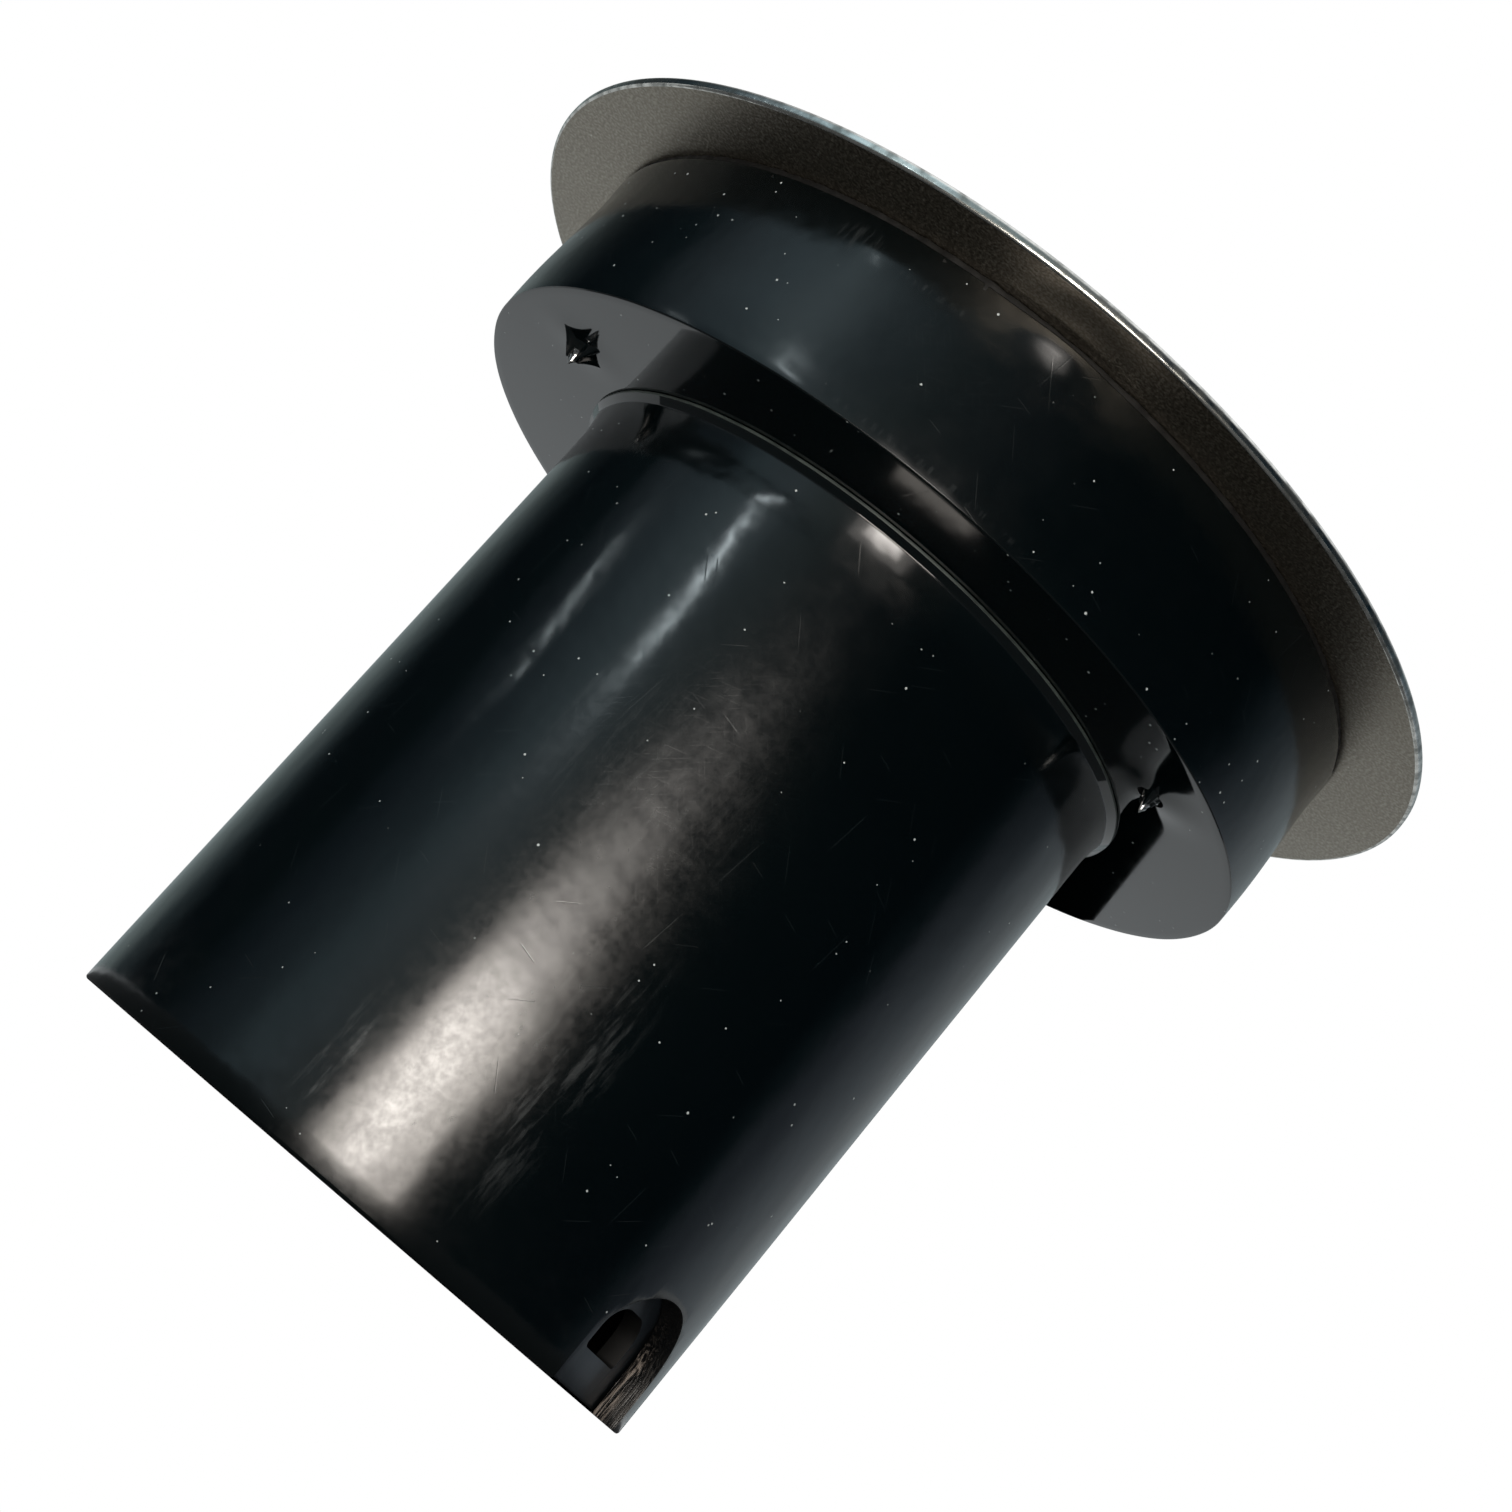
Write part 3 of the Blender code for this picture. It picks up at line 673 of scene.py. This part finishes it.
def arch(half_width, low, high, depth, radius, azimuth, top_fillet, bottom_fillet=0.0):
    """A cutter with an arched outline, pushed through a wall at an azimuth."""
    corners = [
        (half_width, low, bottom_fillet),
        (-half_width, low, bottom_fillet),
        (-half_width, high, top_fillet),
        (half_width, high, top_fillet),
    ]
    outline = rounded(corners, steps=16)
    form = bmesh.new()
    near = [form.verts.new((radius - depth, p.x, p.y)) for p in outline]
    far = [form.verts.new((radius + depth, p.x, p.y)) for p in outline]
    form.faces.new(near)
    form.faces.new(list(reversed(far)))
    for i in range(len(outline)):
        j = (i + 1) % len(outline)
        form.faces.new((near[j], near[i], far[i], far[j]))
    bmesh.ops.recalc_face_normals(form, faces=form.faces)
    bmesh.ops.transform(form, matrix=facing(azimuth), verts=form.verts)
    return form


def rod(radius, low, high, place, steps=32, stretch=0.0, azimuth=0.0):
    """An upright rod, stretched along its tangent into a slot where stretch is given."""
    form = bmesh.new()
    bmesh.ops.create_cone(
        form, cap_ends=True, segments=steps, radius1=radius, radius2=radius, depth=high - low
    )
    for vertex in form.verts:
        if abs(vertex.co.y) > 1e-9:
            vertex.co.y += math.copysign(stretch, vertex.co.y)
    matrix = Matrix.Translation(place + Vector((0, 0, (low + high) / 2))) @ facing(azimuth)
    bmesh.ops.transform(form, matrix=matrix, verts=form.verts)
    return form


def polar_of(point):
    """(azimuth in degrees, distance from the axis) of a point."""
    return math.degrees(math.atan2(point.x, -point.y)), math.hypot(point.x, point.y)


def swell(vertex, amount):
    """Moves a point away from the axis."""
    stretch = 1 + amount / math.hypot(vertex.co.x, vertex.co.y)
    vertex.co.x *= stretch
    vertex.co.y *= stretch


def paint(form, number, chosen):
    """Gives faces a material number where chosen(face) is true."""
    for face in form.faces:
        if chosen(face):
            face.material_index = number


# ---------------------------------------------------------------- pieces


def make_sleeve():
    """The black tube with its milled notch. The mould left faint waves along the wall."""
    outline = rounded(
        [
            (LEDGE_R, SLEEVE_HIGH.z, 0.3),
            (LEDGE_R, COLLAR_LOW.z + COLLAR_FLOOR + GAP, 0.2),
            (SLEEVE_R, COLLAR_LOW.z + COLLAR_FLOOR + GAP, 0.15),
            (SLEEVE_R, COLLAR_LOW.z - 0.05, 0.0),
            (LIP_R, COLLAR_LOW.z - 0.05, 0.06),
            (LIP_R, COLLAR_LOW.z - 0.3, 0.06),
            (SLEEVE_R + 0.3, COLLAR_LOW.z - 0.85, 0.3),
            (SLEEVE_R, COLLAR_LOW.z - 3.0, 0.0),
            (SLEEVE_R, 0.0, 0.3),
            (SLEEVE_BORE, 0.0, 0.3),
            (SLEEVE_BORE, SLEEVE_HIGH.z, 0.2),
        ]
    )
    form = turned_mesh(divided(outline, 2.0), 300)
    for vertex in form.verts:
        azimuth, r = polar_of(vertex.co)
        if r > SLEEVE_R - 0.1:
            swell(vertex, noise.noise(Vector((azimuth / 7.0, vertex.co.z / 22.0, 3.0))) * 0.04)
    notch = arch(
        NOTCH_HALF_WIDTH, -12.0, NOTCH_HEIGHT, 8.0, SLEEVE_R, NOTCH_AZIMUTH, NOTCH_HALF_WIDTH * 0.97
    )
    form = cut(form, [notch], width=0.22, name="sleeve")
    form.normal_update()

    def on_lip(face):
        centre = face.calc_center_median()
        return polar_of(centre)[1] > LIP_R - 0.1 and centre.z < COLLAR_LOW.z

    # The lip's outer edge gets the pale grey painted highlight.
    paint(form, 2, on_lip)
    show(
        "sleeve",
        to_mesh(form, "sleeve"),
        "housing",
        "black_abs",
        [SLEEVE_ABS, CUT_ABS, LIP_HIGHLIGHT_ABS],
        "sleeve_tube",
    )


def make_collar():
    """The black cup under the plate. Its floor is pushed out round each screw point."""
    bottom, top = COLLAR_LOW.z, GASKET_LOW.z + 0.25
    outline = rounded(
        [
            (COLLAR_R - DRAFT + 0.14, top, 0.1),
            (COLLAR_R - DRAFT - 0.04, top - 2.8, 30.0),
            (COLLAR_R - 0.1, bottom + 4.0, 60.0),
            (COLLAR_R - 0.24, bottom, 0.14),
            (SLEEVE_R + 0.12, bottom, 0.3),
            (SLEEVE_R + 0.12, bottom + COLLAR_FLOOR, 0.2),
            (COLLAR_R - COLLAR_WALL, bottom + COLLAR_FLOOR, 0.6),
            (COLLAR_R - DRAFT - COLLAR_WALL, top, 0.1),
        ]
    )
    form = turned_mesh(divided(outline, 0.9), 480)
    # Dents round the screws: azimuth, depth, radius
    dents = ((-68.5, 0.14, 3.2), (51.5, 0.5, 3.3), (171.5, 0.22, 3.0))
    # Swells in the wall: azimuth, height, half width, half height, amount
    swells = (
        (-2.0, 86.2, 3.6, 2.6, 0.42), (-29.0, 75.4, 2.4, 3.4, 0.045), (-24.0, 83.2, 2.6, 1.2, 0.12)
    )
    for vertex in form.verts:
        azimuth, r = polar_of(vertex.co)
        if vertex.co.z < bottom + 0.4 and r < COLLAR_R - 0.8:
            for screw, depth, width in dents:
                away = (vertex.co.xy - at(SCREW_CIRCLE, screw).xy).length
                vertex.co.z -= depth * math.exp(-((away / width) ** 2))
        elif r > COLLAR_R - DRAFT - 0.15:
            wave = noise.noise(Vector((azimuth / 10.0, vertex.co.z / 12.0, 9.0))) * 0.05
            for turn, height, across, along, amount in swells:
                side = math.radians(azimuth - turn) * COLLAR_R / across
                wave += amount * math.exp(-(side**2) - ((vertex.co.z - height) / along) ** 2)
            if vertex.co.z > top - 0.5:
                wave += noise.noise(Vector((azimuth * 1.7, 0.0, 2.0))) * 0.04 - 0.02
            swell(vertex, wave)
    pilots = [rod(1.35, bottom - 3, top + 3, at(SCREW_CIRCLE, a), 20) for a in SCREW_AZIMUTHS]
    form = cut(form, pilots, name="collar")
    show(
        "collar",
        to_mesh(form, "collar"),
        "housing",
        "black_abs",
        [COLLAR_ABS, CUT_ABS],
        "collar_housing",
    )
    for number, azimuth in enumerate(SCREW_AZIMUTHS, 1):
        boss = turned_mesh(
            divided(
                rounded(
                    [
                        (3.5, top - 0.4, 0.3),
                        (3.5, bottom + 2.6, 0),
                        (1.85, bottom + 2.6, 0),
                        (1.85, top - 0.4, 0.2),
                    ],
                ),
                6.0,
            ),
            40,
        )
        bmesh.ops.translate(boss, vec=at(SCREW_CIRCLE, azimuth), verts=boss.verts)
        show(f"screw_boss_{number}", to_mesh(boss, "boss"), "housing", "black_abs", [COLLAR_ABS])


def make_torn_edges():
    """The plastic that each screw point pushed out and tore: a small four-pointed crown."""
    base = COLLAR_LOW.z
    # Azimuth, turn, height, reach, arms, seed
    crowns = (
        (-68.5, 14.0, 1.4, 2.8, 4, 11),
        (51.5, 118.0, 1.5, 2.5, 2, 23),
        (171.5, 8.0, 1.1, 2.2, 4, 37),
    )
    for number, (azimuth, turn, height, reach, arms, seed) in enumerate(crowns, 1):
        form = bmesh.new()
        steps, rings = 72, 12
        outer, inner = [], []
        for j in range(steps):
            angle = math.tau * j / steps
            star = abs(math.cos(arms / 2 * (angle - math.radians(turn)))) ** (12 / arms)
            ragged = noise.noise(Vector((math.cos(angle) * 2.3, math.sin(angle) * 2.3, seed)))
            arm = reach * (0.52 + 0.48 * star) * (1 + 0.18 * ragged)
            lip = 0.62 + 0.12 * ragged
            tall = height * (0.62 + 0.38 * star + 0.45 * ragged)
            column = []
            for k in range(rings + 1):
                t = k / rings
                r = arm + (lip - arm) * t
                z = -tall * t ** (2.2 - 0.8 * star)
                column.append(form.verts.new((r * math.cos(angle), r * math.sin(angle), z)))
            outer.append(column)
            back = []
            for k in range(4):
                t = k / 3
                r = lip - 0.13 - 0.1 * t
                back.append(
                    form.verts.new(
                        (r * math.cos(angle), r * math.sin(angle), -tall * (1 - t) + 0.9 * t)
                    ),
                )
            inner.append(back)
        foot = [form.verts.new((c[0].co.x, c[0].co.y, 0.9)) for c in outer]
        for j in range(steps):
            k = (j + 1) % steps
            for i in range(rings):
                form.faces.new((outer[j][i], outer[j][i + 1], outer[k][i + 1], outer[k][i]))
            form.faces.new((outer[j][-1], inner[j][0], inner[k][0], outer[k][-1]))
            for i in range(3):
                form.faces.new((inner[j][i], inner[j][i + 1], inner[k][i + 1], inner[k][i]))
            form.faces.new((inner[j][-1], foot[j], foot[k], inner[k][-1]))
            form.faces.new((foot[j], outer[j][0], outer[k][0], foot[k]))
        bmesh.ops.recalc_face_normals(form, faces=form.faces)
        bmesh.ops.transform(
            form,
            matrix=Matrix.Translation(at(SCREW_CIRCLE, azimuth, base - 0.02)) @ facing(azimuth),
            verts=form.verts,
        )
        show(
            f"torn_crown_{number}",
            to_mesh(form, "crown", sharp=50),
            "housing",
            "black_abs",
            [COLLAR_ABS],
        )


def make_plate():
    """The stainless plate: blasted below, polished at the rim and brushed on top."""
    low, high = PLATE_LOW.z, PLATE_HIGH.z
    outline = rounded(
        [
            (PLATE_R, high, 0.42),
            (PLATE_R, low, 0.3),
            (7.8, low, 0.1),
            (7.8, high, 0.15),
        ],
        steps=6,
    )
    form = turned_mesh(divided(outline, 6.0), 288)
    holes = [rod(1.9, low - 3, high + 3, at(SCREW_CIRCLE, a), 24) for a in SCREW_AZIMUTHS]
    for k in range(6):
        azimuth = NOTCH_AZIMUTH + 24.0 + 60.0 * k
        holes.append(rod(2.0, low - 3, high + 3, at(INLET_CIRCLE, azimuth), 24, 3.5, azimuth))
    form = cut(form, holes, name="plate")
    form.normal_update()
    paint(form, 0, lambda face: True)
    paint(form, 1, lambda face: face.normal.z > 0.9)
    paint(
        form,
        2,
        lambda face: polar_of(face.calc_center_median())[
            1
        ] > PLATE_R - 0.36 and face.normal.z < 0.9,
    )
    show(
        "plate",
        to_mesh(form, "plate"),
        "housing",
        "stainless_plate",
        [BLASTED, BRUSHED, POLISHED],
        "cover_plate",
    )


def make_gasket():
    """The black seal between collar and plate, squeezed out unevenly along its edge."""
    low, high = GASKET_LOW.z - 0.35, PLATE_LOW.z - 0.01
    outer = COLLAR_R - DRAFT + 0.1
    outline = rounded(
        [(outer, high, 0.15), (outer, low, 0.2), (34.0, low + 0.35, 0.1), (34.0, high, 0.1)],
        steps=3,
    )
    form = turned_mesh(divided(outline, 4.0), 720)
    for vertex in form.verts:
        azimuth, r = polar_of(vertex.co)
        if r > outer - 0.5:
            squeeze = noise.noise(Vector((azimuth * 0.6, 0.0, 5.0))) * 0.15 - 0.1
            squeeze += noise.noise(Vector((azimuth * 1.3, vertex.co.z * 2.0, 7.0))) * 0.12
            swell(vertex, squeeze)
    pilots = [rod(1.9, low - 3, high + 3, at(SCREW_CIRCLE, a), 20) for a in SCREW_AZIMUTHS]
    form = cut(form, pilots, name="gasket")
    paint(form, 0, lambda face: True)
    show(
        "gasket",
        to_mesh(form, "gasket", sharp=60),
        "housing",
        "nitrile_rubber",
        [RUBBER],
        "plate_gasket",
    )


def make_screws():
    """Self-tapping screws: a domed head with a cross recess, and a thread down to the point."""
    head = span("plate_screw_1")[1].z
    seat = head - 2.0
    for number, azimuth in enumerate(SCREW_AZIMUTHS, 1):
        crown = [
            (0.0, head),
            (1.2, head - 0.06),
            (2.3, head - 0.36),
            (3.1, head - 0.95),
            (3.4, seat + 0.25),
            (3.3, seat),
        ]
        form = turned_mesh(
            [Vector(p) for p in crown] + [Vector((1.5, seat)), Vector((0, seat))], 48, closed=False
        )
        slots = []
        for turn in (0.0, 90.0):
            slot = bmesh.new()
            bmesh.ops.create_cube(slot, size=1.0)
            bmesh.ops.scale(slot, vec=(3.4, 0.75, 2.4), verts=slot.verts)
            matrix = Matrix.Translation((0, 0, head)) @ Matrix.Rotation(
                math.radians(turn + 17 * number), 4, "Z"
            )
            bmesh.ops.transform(slot, matrix=matrix, verts=slot.verts)
            slots.append(slot)
        form = cut(form, slots, name="head")
        paint(form, 0, lambda face: True)
        bmesh.ops.translate(form, vec=at(SCREW_CIRCLE, azimuth), verts=form.verts)
        show(
            f"screw_head_{number}",
            to_mesh(form, "screw_head"),
            "housing",
            "screw_steel",
            [ZINC],
            f"plate_screw_{number}",
        )

        steps, levels, pitch = 24, 150, 1.1
        core_radius, point_length, ridge_height = 1.12, 3.4, 0.36
        form = bmesh.new()
        rings = []
        for i in range(levels + 1):
            z = seat + 0.05 + (SCREW_TIP - seat - 0.05) * i / levels
            core = core_radius * min(1.0, max(0.0, (z - SCREW_TIP) / point_length) ** 0.75)
            ring = []
            for j in range(steps):
                phase = ((z - SCREW_TIP) / pitch - j / steps) % 1.0
                ridge = max(0.0, 1 - abs(phase - 0.5) / 0.22) * ridge_height * min(1.0, core / 0.9)
                r = max(core + ridge, 0.01)
                ring.append(
                    form.verts.new(
                        (r * math.cos(math.tau * j / steps), r * math.sin(math.tau * j / steps), z)
                    ),
                )
            rings.append(ring)
        for upper, lower in zip(rings, rings[1:]):
            for j in range(steps):
                k = (j + 1) % steps
                form.faces.new((upper[j], lower[j], lower[k], upper[k]))
        form.faces.new(rings[0])
        form.faces.new(list(reversed(rings[-1])))
        bmesh.ops.recalc_face_normals(form, faces=form.faces)
        bmesh.ops.translate(form, vec=at(SCREW_CIRCLE, azimuth), verts=form.verts)
        show(f"screw_thread_{number}", to_mesh(form, "thread"), "housing", "screw_steel", [ZINC])


def make_drum():
    """The inner shell that turns in the sleeve, with its arched window."""
    bore = DRUM_R - 2.0
    neck = bore - 2.0
    groove_low, groove_high = 63.0, 65.4
    seat = DRUM_HIGH.z - 3.3
    outline = rounded(
        [
            (DRUM_R, DRUM_HIGH.z, 0.2),
            (DRUM_R, groove_high, 0.1),
            (DRUM_R - 1.6, groove_high, 0.1),
            (DRUM_R - 1.6, groove_low, 0.1),
            (DRUM_R, groove_low, 0.1),
            (DRUM_R, DRUM_LOW.z, 0.25),
            (bore, DRUM_LOW.z, 0.25),
            (bore, 59.0, 0.6),
            (neck, 61.0, 0.6),
            (neck, seat, 0.1),
            (bore, seat, 0.1),
            (bore, DRUM_HIGH.z, 0.2),
        ],
        steps=4,
    )
    form = turned_mesh(divided(outline, 4.0), 192)
    window = arch(
        WINDOW_HALF_WIDTH, WINDOW_BOTTOM, WINDOW_TOP, 6.0, DRUM_R, WINDOW_AZIMUTH, 2.6, 0.5
    )
    form = cut(form, [window], width=0.25, name="drum")
    paint(form, 0, lambda face: True)
    # The bore and the window's walls get the near black painted shade.
    paint(form, 1, lambda face: polar_of(face.calc_center_median())[1] < DRUM_R - 0.3)
    show("drum", to_mesh(form, "drum"), "valve", "grey_abs", [DRUM_ABS, SHADE_BLACK_ABS], "valve_drum")


def make_knob():
    """The fluted knob and the brushed cap in it."""
    low, high = KNOB_LOW.z, KNOB_HIGH.z
    bore, recess, web_low, web_high = 5.3, high - 1.3, high - 5.0, high - 3.4
    outline = rounded(
        [
            (9.0, high, 0.25),
            (KNOB_R - 0.3, high, 1.6),
            (KNOB_R, high - 3.0, 1.5),
            (15.5, high - 7.0, 3.0),
            (13.0, low + 2.6, 2.0),
            (12.0, low, 0.5),
            (bore, low, 0.3),
            (bore, web_low, 0.1),
            (2.3, web_low, 0.1),
            (2.3, web_high, 0.1),
            (5.0, web_high, 0.1),
            (5.0, recess, 0.1),
            (9.0, recess, 0.1),
        ]
    )
    form = turned_mesh(divided(outline, 3.0), 144)
    flutes = [rod(4.4, low - 4, high + 4, at(KNOB_R + 3.0, 45.0 * k), 40) for k in range(8)]
    form = cut(form, flutes, width=0.5, name="knob")
    paint(form, 0, lambda face: True)
    show("knob_body", to_mesh(form, "knob"), "valve", "black_abs", [KNOB_ABS], "knob")
    dome = [
        (0.0, CAP_HIGH.z),
        (3.0, CAP_HIGH.z - 0.03),
        (6.0, CAP_HIGH.z - 0.16),
        (8.2, CAP_HIGH.z - 0.45),
        (8.6, CAP_HIGH.z - 0.7),
        (8.7, CAP_HIGH.z - 0.95),
        (8.7, CAP_LOW.z),
        (0.0, CAP_LOW.z),
    ]
    form = turned_mesh([Vector(p) for p in dome], 96, closed=False)
    show("cap", to_mesh(form, "cap"), "valve", "stainless_plate", [BRUSHED], "knob_cap")


NODE_FINISHES = {
    "bearing_bush": ACETAL,
    "thrust_washer": STEEL,
    "wave_washer": STEEL,
    "stop_stud": ZINC,
    "spindle": STEEL,
    "spindle_nut": STEEL,
    "lock_washer": STEEL,
    "spindle_seal": RUBBER,
    "drum_spider": DRUM_ABS,
    "drum_floor": DRUM_ABS,
    "drum_seal": RUBBER,
    "magnet_carrier": DRUM_ABS,
    "interlock_magnet_1": NICKEL,
    "interlock_magnet_2": NICKEL,
    "interlock_magnet_3": NICKEL,
    "knob_screw": ZINC,
}


def finish_inner_nodes():
    """Inner pieces keep their CAD shape and get their real finish."""
    for name, material in NODE_FINISHES.items():
        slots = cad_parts[name].data.materials
        slots.clear()
        slots.append(material)


# ---------------------------------------------------------------- studio


def make_floor():
    """A plain pale floor, seen from above only, as the camera stands level with the sleeve's
    end and just below the floor."""
    bpy.ops.mesh.primitive_circle_add(
        vertices=96, radius=1.6, fill_type="NGON", location=(0, 0, -0.0002)
    )
    floor = bpy.context.object
    floor.name = "studio_floor"
    material = bpy.data.materials.new("pale_floor")
    material.use_nodes = True
    tree = material.node_tree
    tree.nodes.clear()
    paint_coat = add(tree, "BsdfDiffuse", {"Color": linear("f0f0ee")})
    clear = add(tree, "BsdfTransparent")
    side = add(tree, "NewGeometry", out="Backfacing")
    both = add(tree, "MixShader", {0: side, 1: paint_coat, 2: clear})
    add(tree, "OutputMaterial", {"Surface": both})
    floor.data.materials.append(material)


def make_reflection_cards():
    """A grey sheet round the cover's front and a narrow black card behind it. Only glossy
    reflections see them: painted reflections, the sheet darkening the floor in front and the card
    standing in for a cast shadow."""
    places = (
        # Name, colour, place, size, tilt. The black card is a painted shadow seen in reflections;
        # the grey sheet is a painted dark reflection of the floor.
        ("reflected_shadow_card", "020202", (0.0402, 0.060, 0.033), (0.0088, 0.066, 1.0), math.pi / 2),
        ("reflection_darkening_sheet", "6a6a6a", (0.0, -0.42, -0.0001), (1.8, 0.96, 1.0), 0.0),
    )
    for name, colour, location, scale, turn in places:
        material, tree, shader = new_material(name)
        plug(
            tree,
            shader,
            {"Base Color": linear(colour), "Roughness": 1.0, "Specular IOR Level": 0.0},
        )
        bpy.ops.mesh.primitive_plane_add(size=1.0, location=location, rotation=(turn, 0, 0))
        card = bpy.context.object
        card.name = name
        card.scale = scale
        for sense in ("camera", "diffuse", "shadow", "transmission"):
            setattr(card, f"visible_{sense}", False)
        card.data.materials.append(material)


def make_studio():
    """A white backdrop, a soft sky and a horizon of panels that shape the reflections."""
    world = bpy.data.worlds.new("soft_studio")
    bpy.context.scene.world = world
    world.use_nodes = True
    tree = world.node_tree
    tree.nodes.clear()
    direction = add(tree, "TexCoord", out="Generated")
    axes = add(tree, "SeparateXYZ", {0: direction}, out=None)
    back = add(tree, "Math", {0: axes.outputs[1], 1: -1.0}, operation="MULTIPLY")
    turn = add(tree, "Math", {0: axes.outputs[0], 1: back}, operation="ARCTAN2")
    share = add(
        tree,
        "Math",
        {0: add(tree, "Math", {0: turn, 1: math.tau}, operation="DIVIDE"), 1: 0.5},
        operation="ADD",
    )
    rise = add(
        tree,
        "Math",
        {0: add(tree, "Math", {0: axes.outputs[2]}, operation="ARCSINE"), 1: 180 / math.pi},
        operation="MULTIPLY",
    )

    def band(stops):
        """A ramp round the horizon from (azimuth, red, green, blue) stops."""
        return add(
            tree, "ValToRGB", {0: share}, [((a + 180) / 360, (r, g, b, 1)) for a, r, g, b in stops]
        )

    low = band(
        [
            (-180, 0.28, 0.33, 0.34),
            (-148, 0.25, 0.31, 0.31),
            (-133, 0.08, 0.11, 0.12),
            (-120, 0.01, 0.015, 0.02),
            (-98, 0.015, 0.025, 0.03),
            (-83, 0.08, 0.11, 0.14),
            (-70, 0.16, 0.22, 0.26),
            (-58, 0.38, 0.52, 0.58),
            (-45, 0.48, 0.60, 0.66),
            (-32, 0.34, 0.42, 0.43),
            (-15, 0.20, 0.21, 0.21),
            (6, 0.05, 0.055, 0.055),
            (25, 0.02, 0.03, 0.035),
            (80, 0.005, 0.012, 0.02),
            (88, 0.03, 0.05, 0.06),
            (98, 0.17, 0.20, 0.24),
            (120, 0.33, 0.38, 0.42),
            (140, 0.37, 0.41, 0.43),
            (180, 0.28, 0.33, 0.34),
        ],
    )
    high = band(
        [
            (-180, 0.20, 0.24, 0.24),
            (-150, 0.17, 0.20, 0.20),
            (-135, 0.04, 0.05, 0.05),
            (-120, 0.01, 0.015, 0.02),
            (-100, 0.03, 0.05, 0.06),
            (-88, 0.22, 0.28, 0.32),
            (-70, 0.48, 0.64, 0.72),
            (-54, 0.72, 0.92, 1.00),
            (-40, 0.28, 0.36, 0.40),
            (-22, 0.15, 0.19, 0.20),
            (0, 0.07, 0.08, 0.09),
            (20, 0.01, 0.015, 0.02),
            (90, 0.003, 0.01, 0.015),
            (108, 0.08, 0.11, 0.13),
            (130, 0.25, 0.29, 0.31),
            (180, 0.20, 0.24, 0.24),
        ],
    )
    upward = add(tree, "MapRange", {0: rise, 1: 10.0, 2: 23.0, 3: 0.0, 4: 1.0})
    horizon = add(tree, "Mix", {0: upward, 6: low, 7: high}, data_type="RGBA", out=2)
    overhead = add(tree, "MapRange", {0: rise, 1: 34.0, 2: 62.0, 3: 0.0, 4: 1.0})
    lit = add(
        tree, "Mix", {0: overhead, 6: horizon, 7: (0.95, 0.97, 1.0, 1)}, data_type="RGBA", out=2
    )
    seen = add(tree, "LightPath", out="Is Camera Ray")
    colour = add(tree, "Mix", {0: seen, 6: lit, 7: (1, 1, 1, 1)}, data_type="RGBA", out=2)
    background = add(tree, "Background", {"Color": colour, "Strength": 1.0})
    add(tree, "OutputWorld", {"Surface": background})


def make_light(name, azimuth, rise, distance, width, height, power, colour, lean=0.0):
    """A soft box that faces the cover from an azimuth and a height above the horizon."""
    data = bpy.data.lights.new(name, "AREA")
    data.shape = "RECTANGLE"
    data.size, data.size_y = width, height
    data.energy = power
    data.color = colour
    lamp = bpy.data.objects.new(name, data)
    bpy.context.scene.collection.objects.link(lamp)
    centre = Vector((0, 0, 0.065 if rise < 0 else 0.035))
    away = Vector((
        math.sin(math.radians(azimuth)) * math.cos(math.radians(rise)),
        -math.cos(math.radians(azimuth)) * math.cos(math.radians(rise)),
        math.sin(math.radians(rise)),
    ))
    lamp.location = centre + away * distance
    lamp.rotation_mode = "QUATERNION"
    lamp.rotation_quaternion = away.to_track_quat("Z", "Y") @ Quaternion(
        (0, 0, 1), math.radians(lean)
    )


def make_camera():
    """The camera stands in front of the cover, level with the sleeve's end, and is rolled."""
    data = bpy.data.cameras.new("camera")
    data.sensor_width = 36.0
    data.lens = 59.67
    data.clip_start = 0.01
    camera = bpy.data.objects.new("camera", data)
    bpy.context.scene.collection.objects.link(camera)
    camera.location = Vector((0.0, -226.47, -0.28)) * MM
    target = Vector((1.149, 0.0, 54.703)) * MM
    aim = (camera.location - target).to_track_quat("Z", "Y")
    roll = Matrix.Rotation(math.radians(40.74), 4, "Z")
    camera.matrix_world = Matrix.Translation(camera.location) @ aim.to_matrix().to_4x4() @ roll
    bpy.context.scene.camera = camera


make_camera()
make_studio()
make_floor()
make_reflection_cards()
make_light("front_lamp", -9.5, 1.8, 1.1, 0.22, 0.14, 0.87, (1.0, 0.95, 0.89))
make_light("front_low", -9.5, -0.25, 1.08, 0.20, 0.06, 0.45, (1.0, 0.95, 0.89))
make_light("front_fill", -9.5, 4.4, 1.12, 0.45, 0.24, 0.54, (1.0, 0.94, 0.88))
make_light("table_glare", -6.0, -17.0, 0.18, 0.09, 0.05, 0.20, (1.0, 0.93, 0.85))
make_light("left_window", -49.3, 16.0, 1.5, 0.020, 0.20, 0.26, (0.85, 0.97, 1.0), 56.0)
make_light("left_gap", -80.7, 13.7, 1.5, 0.006, 0.19, 0.07, (0.85, 0.97, 1.0), 67.0)
bpy.context.scene.view_settings.view_transform = "Standard"

make_sleeve()
make_collar()
make_torn_edges()
make_plate()
make_gasket()
make_screws()
make_drum()
make_knob()
finish_inner_nodes()
